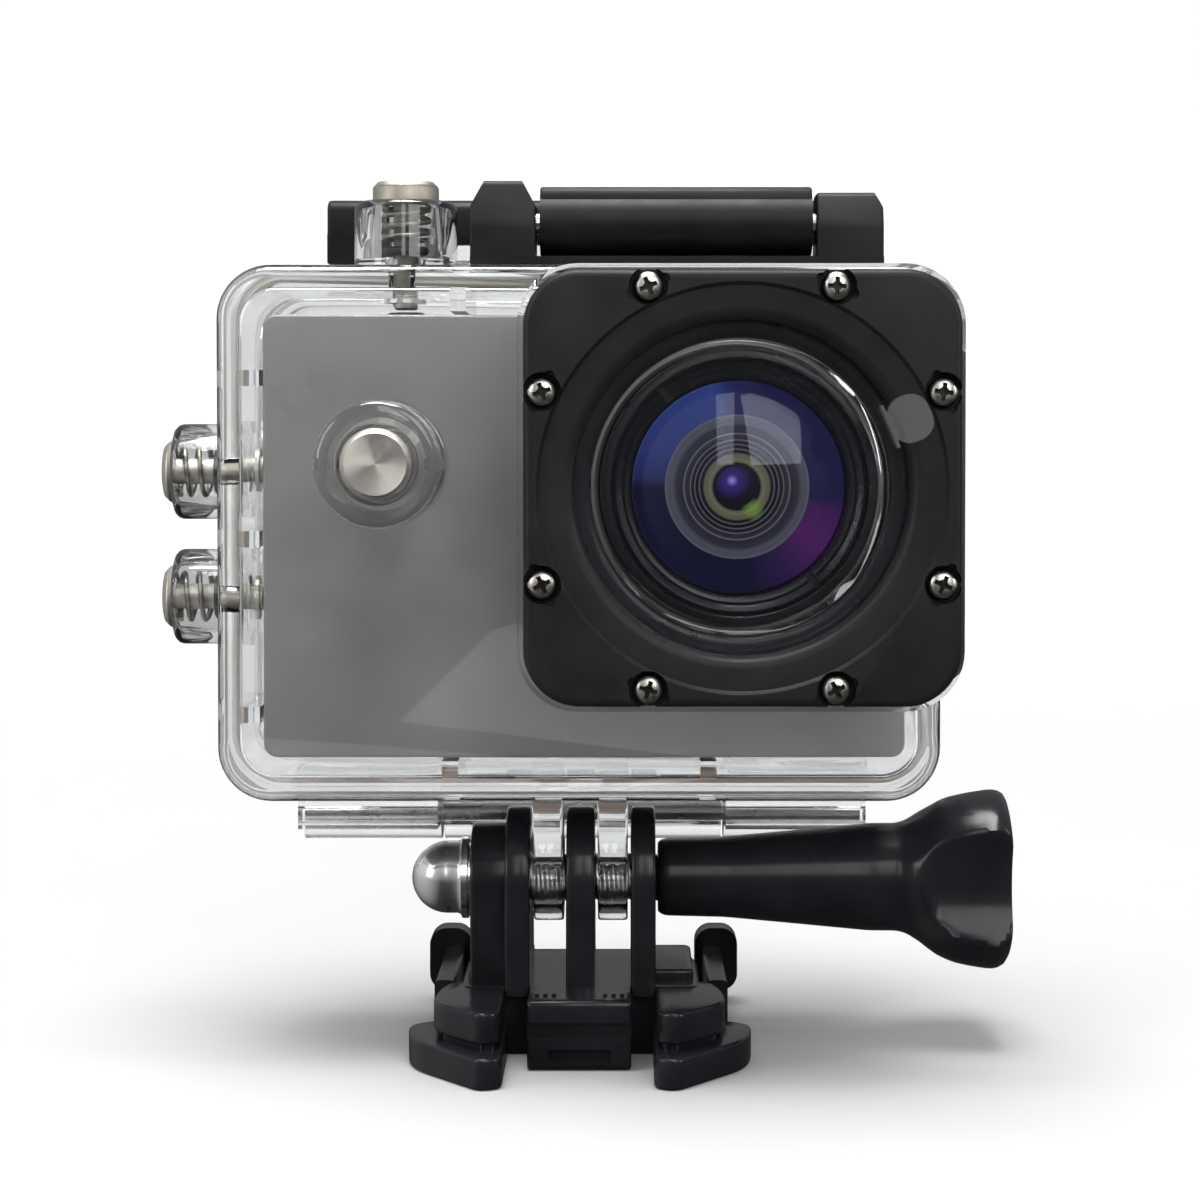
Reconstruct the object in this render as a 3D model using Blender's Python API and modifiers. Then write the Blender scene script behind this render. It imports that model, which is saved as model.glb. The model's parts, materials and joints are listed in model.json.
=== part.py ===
"""Action camera in a clear diving case, on a quick-release buckle with a thumbscrew.

Frame: metres, +Z up. The origin is the centre of the buckle's underside. +X is to
the right for someone facing the lens, and the lens looks along -Y.

The lengths below are in millimetres; the helpers turn them into metres.
"""

import math

import bmesh
import bpy
from mathutils import Matrix, Vector

MM = 0.001
GAP = 0.3

# Clear case, front shell
CASE_X = 33.5
CASE_Z = (25.1, 74.8)
CASE_Y = (-13.3, 7.7)
CASE_WALL = 2.0
CASE_CORNER = 5.0
CAVITY_X = 31.5
CAVITY_Z = (27.2, 72.7)
FLANGE_X = 34.8
FLANGE_Z = (24.4, 75.9)
FLANGE_Y = 3.5

# Back door, its gasket and its hinge
DOOR_Y = (8.0, 11.0, 13.5)
DOOR_PANEL_X = 33.0
DOOR_PANEL_Z = (26.2, 74.2)
POCKET_X = 31.0
POCKET_Z = (28.2, 72.2)
POCKET_DEPTH = 11.7
SEAL_X = (33.6, 32.2)
SEAL_Z = ((25.6, 74.8), (27.0, 73.4))
DOOR_PIN_Y = 11.2
DOOR_PIN_Z = 20.8
HINGE_X = (14.0, 14.3, 28.2)
KNUCKLE_R = 2.7
RIDGE_X = (-20.5, 23.5)

# Lens port, window and bezel
PORT_X = 14.6
PORT_Z = 54.3
PORT_HALF = 20.0
PORT_FRONT = 20.7
BEZEL_HALF = 19.35
BEZEL_U = (21.0, 24.0)
BEZEL_HOLE_R = 14.9
BEZEL_DISH_R = 18.2
WINDOW_R = 17.0
WINDOW_U = (19.1, 20.7)
SCREW_SPOTS = ((8.3, 17.8), (17.7, 8.5))

# Latch
LATCH_PIN_Y = -7.0
LATCH_PIN_Z = 79.0
LATCH_PIN_R = 1.0
LATCH_KNUCKLE_R = 3.0
BRACKET_LEFT = (-10.2, -4.1)
BRACKET_RIGHT = (22.2, 28.4)
LATCH_X = (-3.7, 21.8)
LATCH_BAR_X = (-25.7, 28.0)
LATCH_BAR_Y = (9.0, 15.0)
LATCH_TOP = 82.9

# Push buttons: outward axis, centre, wall and travel of each
MODE_AT = (-18.0, 56.4)
SHUTTER_AT = (-16.9, -1.0)
SIDE_Y = -1.0
UP_Z = 55.6
DOWN_Z = 43.5

# Camera
CAM_X = (-29.3, 30.3)
CAM_Z = (29.1, 70.2)
CAM_BACK = 10.5
CAM_FACE = (-11.0, -9.9)
CAM_BODY_FRONT = -9.6
CAM_WALL = 1.5
BARREL_R = 12.6

# Buckle, pivot and thumbscrew
PIVOT_Z = 16.0
PRONG_R = 6.9
FINGER_R = 4.2
FINGER_X = (1.65, 4.55)
PRONG_X = ((-1.35, 1.35), (4.85, 7.2), (-7.2, -4.85))
BOSS_X = (-10.6, -7.0)
BOSS_R = 5.35
PIVOT_HOLE_R = 2.7
BOLT_R = 2.35
DECK_TOP = 7.0
HANDLE_START = 7.5
GRIP_START = 31.5
GRIP_END = 41.3
GRIP_R = 8.9

PALETTE = {
    "clear": ((0.86, 0.90, 0.92), 0.06, 0.0),
    "black": ((0.012, 0.013, 0.015), 0.35, 0.0),
    "satin_black": ((0.020, 0.021, 0.023), 0.5, 0.0),
    "face": ((0.22, 0.225, 0.24), 0.42, 0.8),
    "steel": ((0.62, 0.60, 0.56), 0.25, 1.0),
    "chrome": ((0.78, 0.79, 0.80), 0.10, 1.0),
    "rubber": ((0.015, 0.015, 0.015), 0.7, 0.0),
    "silicone": ((0.75, 0.72, 0.60), 0.6, 0.0),
    "glass": ((0.08, 0.09, 0.20), 0.04, 0.0),
    "board": ((0.02, 0.16, 0.07), 0.5, 0.0),
}


# ---------------------------------------------------------------- helpers


def clear_scene():
    for obj in list(bpy.data.objects):
        bpy.data.objects.remove(obj, do_unlink=True)


def make_collection(name):
    found = bpy.data.collections.new(name)
    bpy.context.scene.collection.children.link(found)
    return found


def make_material(name):
    colour, roughness, metallic = PALETTE[name]
    material = bpy.data.materials.new(name)
    material.use_nodes = True
    shader = material.node_tree.nodes["Principled BSDF"]
    shader.inputs["Base Color"].default_value = (*colour, 1.0)
    shader.inputs["Roughness"].default_value = roughness
    shader.inputs["Metallic"].default_value = metallic
    material.diffuse_color = (*colour, 1.0)
    return material


def place(name, mesh, material=None):
    """Link a mesh as a part when it has a material, or as a tool when it has none."""
    obj = bpy.data.objects.new(name, mesh)
    if material is None:
        TOOLS.objects.link(obj)
        obj.hide_render = True
        obj.display_type = "WIRE"
    else:
        PARTS.objects.link(obj)
        mesh.materials.append(MATERIALS[material])
    return obj


def finish_mesh(name, bm):
    mesh = bpy.data.meshes.new(name)
    bmesh.ops.recalc_face_normals(bm, faces=bm.faces)
    bm.to_mesh(mesh)
    bm.free()
    return mesh


def along(edge, axis):
    a, b = (v.co for v in edge.verts)
    return abs((a - b).normalized()[axis]) > 0.999


def box(name, x, y, z, material=None, radius=0.0, axis=1, steps=3, soft=0.0, soft_end=None):
    """A box between two corners, its edges along one axis rounded.

    soft rounds the rim of one end face: soft_end -1 is the low end, +1 the high end.
    """
    bm = bmesh.new()
    bmesh.ops.create_cube(bm, size=1.0)
    size = Vector((x[1] - x[0], y[1] - y[0], z[1] - z[0])) * MM
    centre = Vector((x[1] + x[0], y[1] + y[0], z[1] + z[0])) * MM / 2
    bmesh.ops.scale(bm, vec=size, verts=bm.verts)
    bmesh.ops.translate(bm, vec=centre, verts=bm.verts)
    if radius:
        edges = [e for e in bm.edges if along(e, axis)]
        bmesh.ops.bevel(
            bm, geom=edges, offset=radius * MM, segments=steps, profile=0.5, affect="EDGES"
        )
    if soft:
        limit = centre[axis] + soft_end * size[axis] / 2
        edges = [
            e for e in bm.edges if all(abs(v.co[axis] - limit) < 1e-7 for v in e.verts)
        ]
        bmesh.ops.bevel(
            bm, geom=edges, offset=soft * MM, segments=2, profile=0.5, affect="EDGES"
        )
    return place(name, finish_mesh(name, bm), material)


def turn_to(axis):
    """Rotation that takes local +Z to the named direction."""
    return {
        "+X": Matrix.Rotation(math.radians(90), 4, "Y"),
        "-X": Matrix.Rotation(math.radians(-90), 4, "Y"),
        "-Y": Matrix.Rotation(math.radians(90), 4, "X"),
        "+Y": Matrix.Rotation(math.radians(-90), 4, "X"),
        "+Z": Matrix.Identity(4),
    }[axis]


def base_point(axis, a, b):
    """World point where a line along the named axis crosses that axis's zero plane."""
    if axis[1] == "X":
        return Vector((0.0, a, b)) * MM
    if axis[1] == "Y":
        return Vector((a, 0.0, b)) * MM
    return Vector((a, b, 0.0)) * MM


def rod(name, axis, at, r, span, material=None, segments=28, r_end=None):
    """A cylinder or cone along an axis; span is measured in the axis's own direction."""
    bm = bmesh.new()
    bmesh.ops.create_cone(
        bm,
        cap_ends=True,
        segments=segments,
        radius1=r * MM,
        radius2=(r if r_end is None else r_end) * MM,
        depth=(span[1] - span[0]) * MM,
    )
    bmesh.ops.translate(bm, vec=(0, 0, (span[0] + span[1]) * MM / 2), verts=bm.verts)
    bmesh.ops.transform(bm, matrix=turn_to(axis), verts=bm.verts)
    bmesh.ops.translate(bm, vec=base_point(axis, *at), verts=bm.verts)
    return place(name, finish_mesh(name, bm), material)


def turned(name, axis, at, profile, material=None, closed=False, steps=32):
    """Turn a (radius, height) profile, listed top to bottom on its outer side."""
    mesh = bpy.data.meshes.new(name)
    points = [(r * MM, 0.0, h * MM) for r, h in profile]
    edges = [(i, i + 1) for i in range(len(points) - 1)]
    if closed:
        edges.append((len(points) - 1, 0))
    mesh.from_pydata(points, edges, [])
    obj = place(name, mesh, material)
    obj.matrix_world = Matrix.Translation(base_point(axis, *at)) @ turn_to(axis)
    screw = obj.modifiers.new("turn", "SCREW")
    screw.axis = "Z"
    screw.angle = math.tau
    screw.steps = steps
    screw.render_steps = steps
    screw.use_merge_vertices = True
    screw.merge_threshold = 0.00001
    return obj


def ring(name, axis, at, inner, outer, span, material=None, steps=32):
    low, high = span
    profile = [(outer, high), (outer, low), (inner, low), (inner, high)]
    return turned(name, axis, at, profile, material, closed=True, steps=steps)


def outline(name, axis, points, span, material=None):
    """A flat outline, extruded along X (points are y, z) or along Z (points are x, y)."""
    curve = bpy.data.curves.new(name, "CURVE")
    curve.dimensions = "2D"
    curve.fill_mode = "BOTH"
    curve.extrude = (span[1] - span[0]) * MM / 2
    spline = curve.splines.new("POLY")
    spline.points.add(len(points) - 1)
    for point, (a, b) in zip(spline.points, points):
        point.co = (a * MM, b * MM, 0.0, 1.0)
    spline.use_cyclic_u = True
    shape = bpy.data.objects.new(name + "_outline", curve)
    TOOLS.objects.link(shape)
    bpy.context.view_layer.update()
    graph = bpy.context.evaluated_depsgraph_get()
    mesh = bpy.data.meshes.new_from_object(shape.evaluated_get(graph))
    bpy.data.objects.remove(shape)
    bm = bmesh.new()
    bm.from_mesh(mesh)
    bmesh.ops.remove_doubles(bm, verts=bm.verts, dist=1e-7)
    middle = (span[0] + span[1]) * MM / 2
    if axis == "X":
        turn = Matrix(((0, 0, 1, middle), (1, 0, 0, 0), (0, 1, 0, 0), (0, 0, 0, 1)))
    else:
        turn = Matrix.Translation((0, 0, middle))
    bmesh.ops.transform(bm, matrix=turn, verts=bm.verts)
    return place(name, finish_mesh(name, bm), material)


def arc(centre, r, start, end, count):
    """Points on an arc, with the angles in degrees."""
    out = []
    for i in range(count + 1):
        angle = math.radians(start + (end - start) * i / count)
        out.append((centre[0] + r * math.cos(angle), centre[1] + r * math.sin(angle)))
    return out


def boolean(obj, tool, operation):
    tool.name = "%s_%s_%d" % (obj.name, operation[0].lower(), len(obj.modifiers))
    modifier = obj.modifiers.new(tool.name, "BOOLEAN")
    modifier.operation = operation
    modifier.solver = "EXACT"
    modifier.object = tool


def join(obj, *tools):
    for tool in tools:
        boolean(obj, tool, "UNION")


def cut(obj, *tools):
    for tool in tools:
        boolean(obj, tool, "DIFFERENCE")


def smooth(obj, degrees=35):
    obj.data.shade_smooth()
    obj.data.set_sharp_from_angle(angle=math.radians(degrees))


def joint_empty(name, x, y, z, parent=None):
    empty = bpy.data.objects.new(name, None)
    PARTS.objects.link(empty)
    empty.location = (x * MM, y * MM, z * MM)
    if parent:
        empty.parent = parent
        empty.matrix_parent_inverse = Matrix.Translation(-world_place(parent))
    return empty


def world_place(empty):
    return Vector(PLACES[empty.name])


def carry(empty, *objects):
    """Parent pieces to the empty on their joint, keeping them where they are."""
    for obj in objects:
        obj.parent = empty
        obj.matrix_parent_inverse = Matrix.Translation(-world_place(empty))


# ---------------------------------------------------------------- clear case


def finger(name, x):
    """A mounting finger: wide at the case, round at the pivot."""
    points = [(-9.5, 26.0), (-9.0, 24.6), (-FINGER_R, 18.6), (-FINGER_R, PIVOT_Z)]
    points += arc((0.0, PIVOT_Z), FINGER_R, 180, 360, 12)[1:]
    points += [(FINGER_R, 21.0), (5.0, 26.0)]
    return outline(name, "X", points, x)


def hinge_lug(name, x):
    """One shell side of the door hinge: a barrel on a web under the shell."""
    obj = rod(name, "+X", (DOOR_PIN_Y, DOOR_PIN_Z), KNUCKLE_R, x, segments=24)
    join(
        obj,
        box("web", x, (4.2, 11.0), (20.0, 24.05)),
        box("root", (x[0] + 0.01, x[1] - 0.01), (4.4, 7.4), (21.0, 25.8)),
    )
    return obj


def boss_tools():
    """Outer bosses of the four buttons."""
    return [
        rod("boss", "-Y", MODE_AT, 5.8, (12.6, 20.0), segments=32),
        rod("boss", "+Z", SHUTTER_AT, 5.0, (74.0, 81.6), segments=32),
        rod("boss", "-X", (SIDE_Y, UP_Z), 4.6, (32.8, 39.2), segments=32),
        rod("boss", "-X", (SIDE_Y, DOWN_Z), 4.6, (32.8, 39.2), segments=32),
    ]


def bore_tools():
    """Spring bores, stem guides and clip recesses of the four buttons."""
    tools = [
        rod("bore", "-Y", MODE_AT, 3.6, (15.0, 20.6)),
        rod("clip", "-Y", MODE_AT, 2.7, (11.0, 13.4), segments=20),
        rod("bore", "+Z", SHUTTER_AT, 3.5, (76.0, 82.2)),
    ]
    for z in (UP_Z, DOWN_Z):
        tools.append(rod("bore", "-X", (SIDE_Y, z), 3.3, (34.1, 39.8)))
    tools.append(rod("stem", "-Y", MODE_AT, 1.32, (12.9, 15.5), segments=20))
    tools.append(rod("stem", "+Z", SHUTTER_AT, 1.32, (72.0, 76.5), segments=20))
    for z in (UP_Z, DOWN_Z):
        tools.append(rod("stem", "-X", (SIDE_Y, z), 1.32, (31.0, 34.6), segments=20))
    return tools


def rib_tools():
    """Ribs that hold the camera off the case walls."""
    front, back = -12.0, 6.0
    tools = []
    for z in (64.3, 49.4, 33.1):
        tools.append(box("rib", (-32.4, -29.6), (front, back), (z - 0.75, z + 0.75)))
    for z in (36.0, 49.4, 62.8):
        tools.append(box("rib", (30.6, 32.4), (front + 1.5, back), (z - 0.75, z + 0.75)))
    for x in (-11.2, 8.0, 24.0):
        tools.append(box("rib", (x - 0.75, x + 0.75), (front, back), (70.5, 73.6)))
    for x in (-12.0, 12.0):
        tools.append(box("rib", (x - 0.75, x + 0.75), (front, back), (26.3, 28.8)))
    return tools


def screw_places():
    """The eight bezel screws, as (x, z)."""
    spots = []
    for a, b in SCREW_SPOTS:
        for sx in (-1, 1):
            for sz in (-1, 1):
                spots.append((PORT_X + sx * a, PORT_Z + sz * b))
    return spots


def front_shell():
    shell = box(
        "front_shell", (-CASE_X, CASE_X), CASE_Y, CASE_Z, "clear", CASE_CORNER, 1, 5, 1.2, -1
    )
    port_x = (PORT_X - PORT_HALF, PORT_X + PORT_HALF)
    port_z = (PORT_Z - PORT_HALF, PORT_Z + PORT_HALF)
    join(
        shell,
        box("flange", (-FLANGE_X, FLANGE_X), (FLANGE_Y, 7.69), FLANGE_Z, None, 5.6, 1, 5),
        box("port", port_x, (-PORT_FRONT, -12.4), port_z, None, 5.4, 1, 5),
        hinge_lug("lug", (-HINGE_X[2], -HINGE_X[1])),
        hinge_lug("lug", (HINGE_X[1], HINGE_X[2])),
        finger("finger", FINGER_X),
        finger("finger", (-FINGER_X[1], -FINGER_X[0])),
        *boss_tools(),
    )
    cut(
        shell,
        box(
            "cavity", (-CAVITY_X, CAVITY_X), (-11.3, 9.0), CAVITY_Z, None, 3.4, 1, 5
        ),
    )
    join(shell, *rib_tools())
    cut(
        shell,
        rod("seat", "-Y", (PORT_X, PORT_Z), WINDOW_R + GAP, (17.9, 21.5), segments=36),
        rod("tube", "-Y", (PORT_X, PORT_Z), 13.4, (10.5, 18.5), segments=36),
        rod("pin", "+X", (DOOR_PIN_Y, DOOR_PIN_Z), 1.05, (-40, 40), segments=16),
        rod("pivot", "+X", (0.0, PIVOT_Z), PIVOT_HOLE_R, (-20, 20), segments=24),
        *bore_tools(),
    )
    for spot in screw_places():
        cut(shell, rod("thread", "-Y", spot, 0.9, (15.5, 21.4), segments=8))
    smooth(shell)
    return shell


def ridge():
    """The catch on the door's top edge: a wedge that falls towards the rear."""
    points = [(8.4, 75.0), (8.4, 78.3), (9.1, 78.14), (13.4, 76.42), (13.4, 75.4), (10.4, 73.6)]
    return outline("ridge", "X", points, RIDGE_X)


def back_door():
    door = box(
        "back_door", (-FLANGE_X, FLANGE_X), DOOR_Y[:2], FLANGE_Z, "clear", 5.6, 1, 5
    )
    panel = box(
        "panel",
        (-DOOR_PANEL_X, DOOR_PANEL_X),
        (8.5, DOOR_Y[2]),
        DOOR_PANEL_Z,
        None,
        5.0,
        1,
        5,
        1.0,
        1,
    )
    knuckle = rod(
        "knuckle", "+X", (DOOR_PIN_Y, DOOR_PIN_Z), KNUCKLE_R, (-HINGE_X[0], HINGE_X[0]), segments=24
    )
    web = box("web", (-HINGE_X[0], HINGE_X[0]), (9.2, 13.2), (20.8, 26.6))
    join(door, panel, knuckle, web, ridge())
    groove_x = (-SEAL_X[0] - GAP, SEAL_X[0] + GAP)
    groove_z = (SEAL_Z[0][0] - GAP, SEAL_Z[0][1] + GAP)
    core_x = (-SEAL_X[1] + GAP, SEAL_X[1] - GAP)
    core_z = (SEAL_Z[1][0] + GAP, SEAL_Z[1][1] - GAP)
    groove = box("groove", groove_x, (7.5, 9.9), groove_z, None, 4.9, 1, 4)
    cut(groove, box("core", core_x, (7.0, 10.5), core_z, None, 3.6, 1, 4))
    cut(
        door,
        groove,
        box(
            "pocket", (-POCKET_X, POCKET_X), (7.0, POCKET_DEPTH), POCKET_Z, None, 3.0, 1, 4
        ),
        rod("pin", "+X", (DOOR_PIN_Y, DOOR_PIN_Z), 1.05, (-30, 30), segments=16),
    )
    smooth(door)
    return door


def door_gasket():
    gasket = box(
        "door_gasket",
        (-SEAL_X[0], SEAL_X[0]),
        (8.0, 9.6),
        SEAL_Z[0],
        "silicone",
        4.6,
        1,
        4,
    )
    cut(
        gasket,
        box("inside", (-SEAL_X[1], SEAL_X[1]), (7.0, 10.6), SEAL_Z[1], None, 3.3, 1, 4),
    )
    smooth(gasket)
    return gasket


def door_hinge_pin():
    pin = rod(
        "door_hinge_pin", "+X", (DOOR_PIN_Y, DOOR_PIN_Z), 0.9, (-28.0, 28.0), "steel", 16
    )
    smooth(pin)
    return pin


# ---------------------------------------------------------------- lens port


def lens_bezel():
    low, high = BEZEL_U
    x = (PORT_X - BEZEL_HALF, PORT_X + BEZEL_HALF)
    z = (PORT_Z - BEZEL_HALF + 0.05, PORT_Z + BEZEL_HALF - 0.05)
    bezel = box("lens_bezel", x, (-high, -low), z, "satin_black", 5.0, 1, 5, 0.6, -1)
    centre = (PORT_X, PORT_Z)
    cut(
        bezel,
        rod("dish", "-Y", centre, BEZEL_DISH_R, (high - 0.4, high + 1.0), segments=36),
        rod("hole", "-Y", centre, BEZEL_HOLE_R, (low - 1.0, high), segments=36),
    )
    for spot in screw_places():
        cut(
            bezel,
            rod("head", "-Y", spot, 1.7, (22.5, high + 1.0), segments=12),
            rod("shank", "-Y", spot, 0.95, (low - 0.5, 22.8), segments=8),
        )
    smooth(bezel)
    return bezel


def bezel_screw(number, spot):
    screw = rod("bezel_screw_%d" % number, "-Y", spot, 1.35, (22.8, 23.7), "steel", 16)
    join(screw, rod("shank", "-Y", spot, 0.7, (16.2, 23.0), segments=10))
    cut(
        screw,
        box("slot", (spot[0] - 0.8, spot[0] + 0.8), (-24.5, -23.25), (spot[1] - 0.17, spot[1] + 0.17)),
        box("slot", (spot[0] - 0.17, spot[0] + 0.17), (-24.4, -23.25), (spot[1] - 0.8, spot[1] + 0.8)),
    )
    smooth(screw)
    return screw


def window_film():
    """Thin protective film on the window, with a pull tab that folds over the bezel."""
    film = rod(
        "window_film", "-Y", (PORT_X, PORT_Z), 14.5, (21.0, 21.3), "clear", segments=36
    )
    riser = box("riser", (13.95, 14.25), (-24.55, -21.1), (-2.0, 2.0))
    tongue = box("tongue", (13.95, 17.8), (-24.6, -24.3), (-2.1, 2.1), None, 1.6, 1, 3)
    turn = Matrix.Rotation(math.radians(-22.8), 4, "Y")
    for tool in (riser, tongue):
        tool.data.transform(turn)
        tool.data.transform(Matrix.Translation((PORT_X * MM, 0.0, PORT_Z * MM)))
    join(film, riser, tongue)
    smooth(film)
    return film


def port_parts():
    centre = (PORT_X, PORT_Z)
    window = rod("lens_window", "-Y", centre, WINDOW_R, WINDOW_U, "clear", 36)
    gasket = ring(
        "window_gasket", "-Y", centre, 14.6, WINDOW_R, (18.2, 18.8), "rubber", 32
    )
    smooth(window)
    smooth(gasket)
    parts = [lens_bezel(), window, gasket, window_film()]
    for number, spot in enumerate(screw_places(), 1):
        parts.append(bezel_screw(number, spot))
    return parts


# ---------------------------------------------------------------- latch


def bracket_knuckle(name, x, top):
    points = [(-10.2, 75.2), (-10.2, 78.6), (-8.8, top), (-5.0, top), (-3.7, 79.5), (-3.7, 75.2)]
    return outline(name, "X", points, x)


def latch_bracket():
    base_x = (BRACKET_LEFT[0], BRACKET_RIGHT[1])
    bracket = box("latch_bracket", base_x, (-10.2, -3.7), (75.1, 75.75), "black")
    join(
        bracket,
        bracket_knuckle("left", (BRACKET_LEFT[0] + 0.01, BRACKET_LEFT[1]), LATCH_TOP),
        bracket_knuckle("right", (BRACKET_RIGHT[0], BRACKET_RIGHT[1] - 0.01), 81.8),
    )
    cut(
        bracket,
        rod("pin", "+X", (LATCH_PIN_Y, LATCH_PIN_Z), 1.15, (-20, 40), segments=20),
    )
    smooth(bracket)
    return bracket


def latch_flap():
    flap = rod(
        "latch_flap", "+X", (LATCH_PIN_Y, LATCH_PIN_Z), LATCH_KNUCKLE_R, LATCH_X, "black", 28
    )
    plate = outline(
        "plate",
        "X",
        [(-7.0, 79.4), (-9.2, 80.0), (-9.1, 81.6), (-8.6, 82.35), (9.6, 82.3), (9.6, 79.9)],
        (LATCH_X[0] + 0.01, LATCH_X[1] - 0.01),
    )
    low, high = LATCH_BAR_Y
    bar = outline(
        "bar",
        "X",
        [(low, 78.6), (high, 76.2), (high, 81.8), (high - 1.4, LATCH_TOP), (low + 0.8, LATCH_TOP), (low, 82.2)],
        LATCH_BAR_X,
    )
    ends = [
        box("end", (LATCH_BAR_X[0] + 0.01, -21.0), (low + 0.01, high - 0.01), (76.5, 79.4)),
        box("end", (24.2, LATCH_BAR_X[1] - 0.01), (low + 0.01, high - 0.01), (76.5, 79.4)),
    ]
    join(flap, plate, bar, *ends)
    cut(
        flap,
        rod("pin", "+X", (LATCH_PIN_Y, LATCH_PIN_Z), 1.15, (-20, 40), segments=20),
    )
    smooth(flap)
    return flap


def latch_pin():
    pin = rod(
        "latch_pin",
        "+X",
        (LATCH_PIN_Y, LATCH_PIN_Z),
        LATCH_PIN_R,
        (-10.0, 28.2),
        "steel",
        20,
    )
    smooth(pin)
    return pin


# ---------------------------------------------------------------- push buttons


def helix(name, axis, at, r, wire, span, turns, material):
    """A compression spring: a helix of round wire."""
    per_turn = 10
    low, high = span
    curve = bpy.data.curves.new(name, "CURVE")
    curve.dimensions = "3D"
    curve.bevel_depth = wire / 2 * MM
    curve.bevel_resolution = 1
    curve.use_fill_caps = True
    spline = curve.splines.new("POLY")
    count = int(turns * per_turn)
    spline.points.add(count)
    matrix = Matrix.Translation(base_point(axis, *at)) @ turn_to(axis)
    half = wire / 2
    for i, point in enumerate(spline.points):
        angle = math.tau * i / per_turn
        h = low + half + (high - low - wire) * i / count
        local = Vector((r * math.cos(angle), r * math.sin(angle), h)) * MM
        point.co = (*(matrix @ local), 1.0)
    shape = bpy.data.objects.new(name + "_curve", curve)
    TOOLS.objects.link(shape)
    bpy.context.view_layer.update()
    graph = bpy.context.evaluated_depsgraph_get()
    mesh = bpy.data.meshes.new_from_object(shape.evaluated_get(graph))
    bpy.data.objects.remove(shape)
    bm = bmesh.new()
    bm.from_mesh(mesh)
    bmesh.ops.remove_doubles(bm, verts=bm.verts, dist=1e-7)
    obj = place(name, finish_mesh(name, bm), material)
    smooth(obj, 60)
    return obj


def seal(name, axis, at, height, material="rubber"):
    """An O-ring round a stem."""
    profile = [(1.82 + 0.4 * math.cos(a), height + 0.4 * math.sin(a)) for a in circle(6)]
    obj = turned(name, axis, at, profile, material, closed=True, steps=16)
    smooth(obj, 80)
    return obj


def circle(count):
    """Angles once round, running from the top down the outer side."""
    return [math.pi / 2 - math.tau * i / count for i in range(count)]


def clip(name, axis, at, span):
    """A retaining clip: a washer open on one side, round the stem's groove."""
    obj = ring(name, axis, at, 1.3, 2.1, span, "steel", steps=20)
    matrix = Matrix.Translation(base_point(axis, *at)) @ turn_to(axis)
    slot = box("slot", (0.4, 3.0), (-0.55, 0.55), (span[0] - 1.0, span[1] + 1.0))
    slot.data.transform(matrix)
    cut(obj, slot)
    smooth(obj)
    return obj


def push_button(name, axis, at, face, head, cap_r, stem_end, seal_at, spring, turns, clip_at):
    """Cap on a stem, with its spring, O-ring and clip.

    face and head are the cap's outer and inner ends, along the outward axis.
    """
    profile = [
        (0.0, face),
        (cap_r - 0.5, face),
        (cap_r, face - 0.5),
        (cap_r, head),
        (1.2, head),
        (1.2, stem_end),
        (0.0, stem_end),
    ]
    plunger = turned(name + "_plunger", axis, at, profile, "steel", steps=24)
    smooth(plunger)
    coil = helix(name + "_spring", axis, at, 2.25, 0.45, spring, turns, "steel")
    ring_seal = seal(name + "_o_ring", axis, at, seal_at)
    holder = clip(name + "_clip", axis, at, clip_at)
    return plunger, holder, coil, ring_seal


def camera_button(name, axis, at, top, bottom):
    """The camera's own button: a key with a flange behind the wall."""
    profile = [
        (0.0, top),
        (1.7, top),
        (2.0, top - 0.3),
        (2.0, bottom + 0.5),
        (2.7, bottom + 0.5),
        (2.7, bottom),
        (0.0, bottom),
    ]
    key = turned(name, axis, at, profile, "black", steps=20)
    smooth(key)
    return key


# ---------------------------------------------------------------- camera


def camera_body():
    y = (CAM_BODY_FRONT, CAM_BACK)
    body = box("camera_body", CAM_X, y, CAM_Z, "satin_black", 1.3, 1, 3, 0.6, 1)
    wall = CAM_WALL
    cavity = box(
        "cavity",
        (CAM_X[0] + wall, CAM_X[1] - wall),
        (-12.0, 8.9),
        (CAM_Z[0] + wall, CAM_Z[1] - wall),
    )
    cut(
        body,
        cavity,
        box("screen", (-22.0, 24.0), (9.6, 12.0), (34.0, 65.0)),
        box("battery", (-25.1, 1.1), (-8.8, 1.8), (28.0, 31.0)),
        rod("key", "+Z", SHUTTER_AT, 2.25, (68.0, 72.0), segments=20),
        rod("key", "-X", (SIDE_Y, UP_Z), 2.25, (27.0, 31.0), segments=20),
        rod("key", "-X", (SIDE_Y, DOWN_Z), 2.25, (27.0, 31.0), segments=20),
    )
    smooth(body)
    return body


def camera_face_plate():
    plate = box("camera_face_plate", CAM_X, CAM_FACE, CAM_Z, "face", 1.3, 1, 3, 0.35, -1)
    cut(
        plate,
        rod("lens", "-Y", (PORT_X, PORT_Z), BARREL_R + GAP, (8.0, 13.0), segments=36),
        rod("key", "-Y", MODE_AT, 2.25, (8.0, 13.0), segments=20),
    )
    smooth(plate)
    return plate


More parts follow.
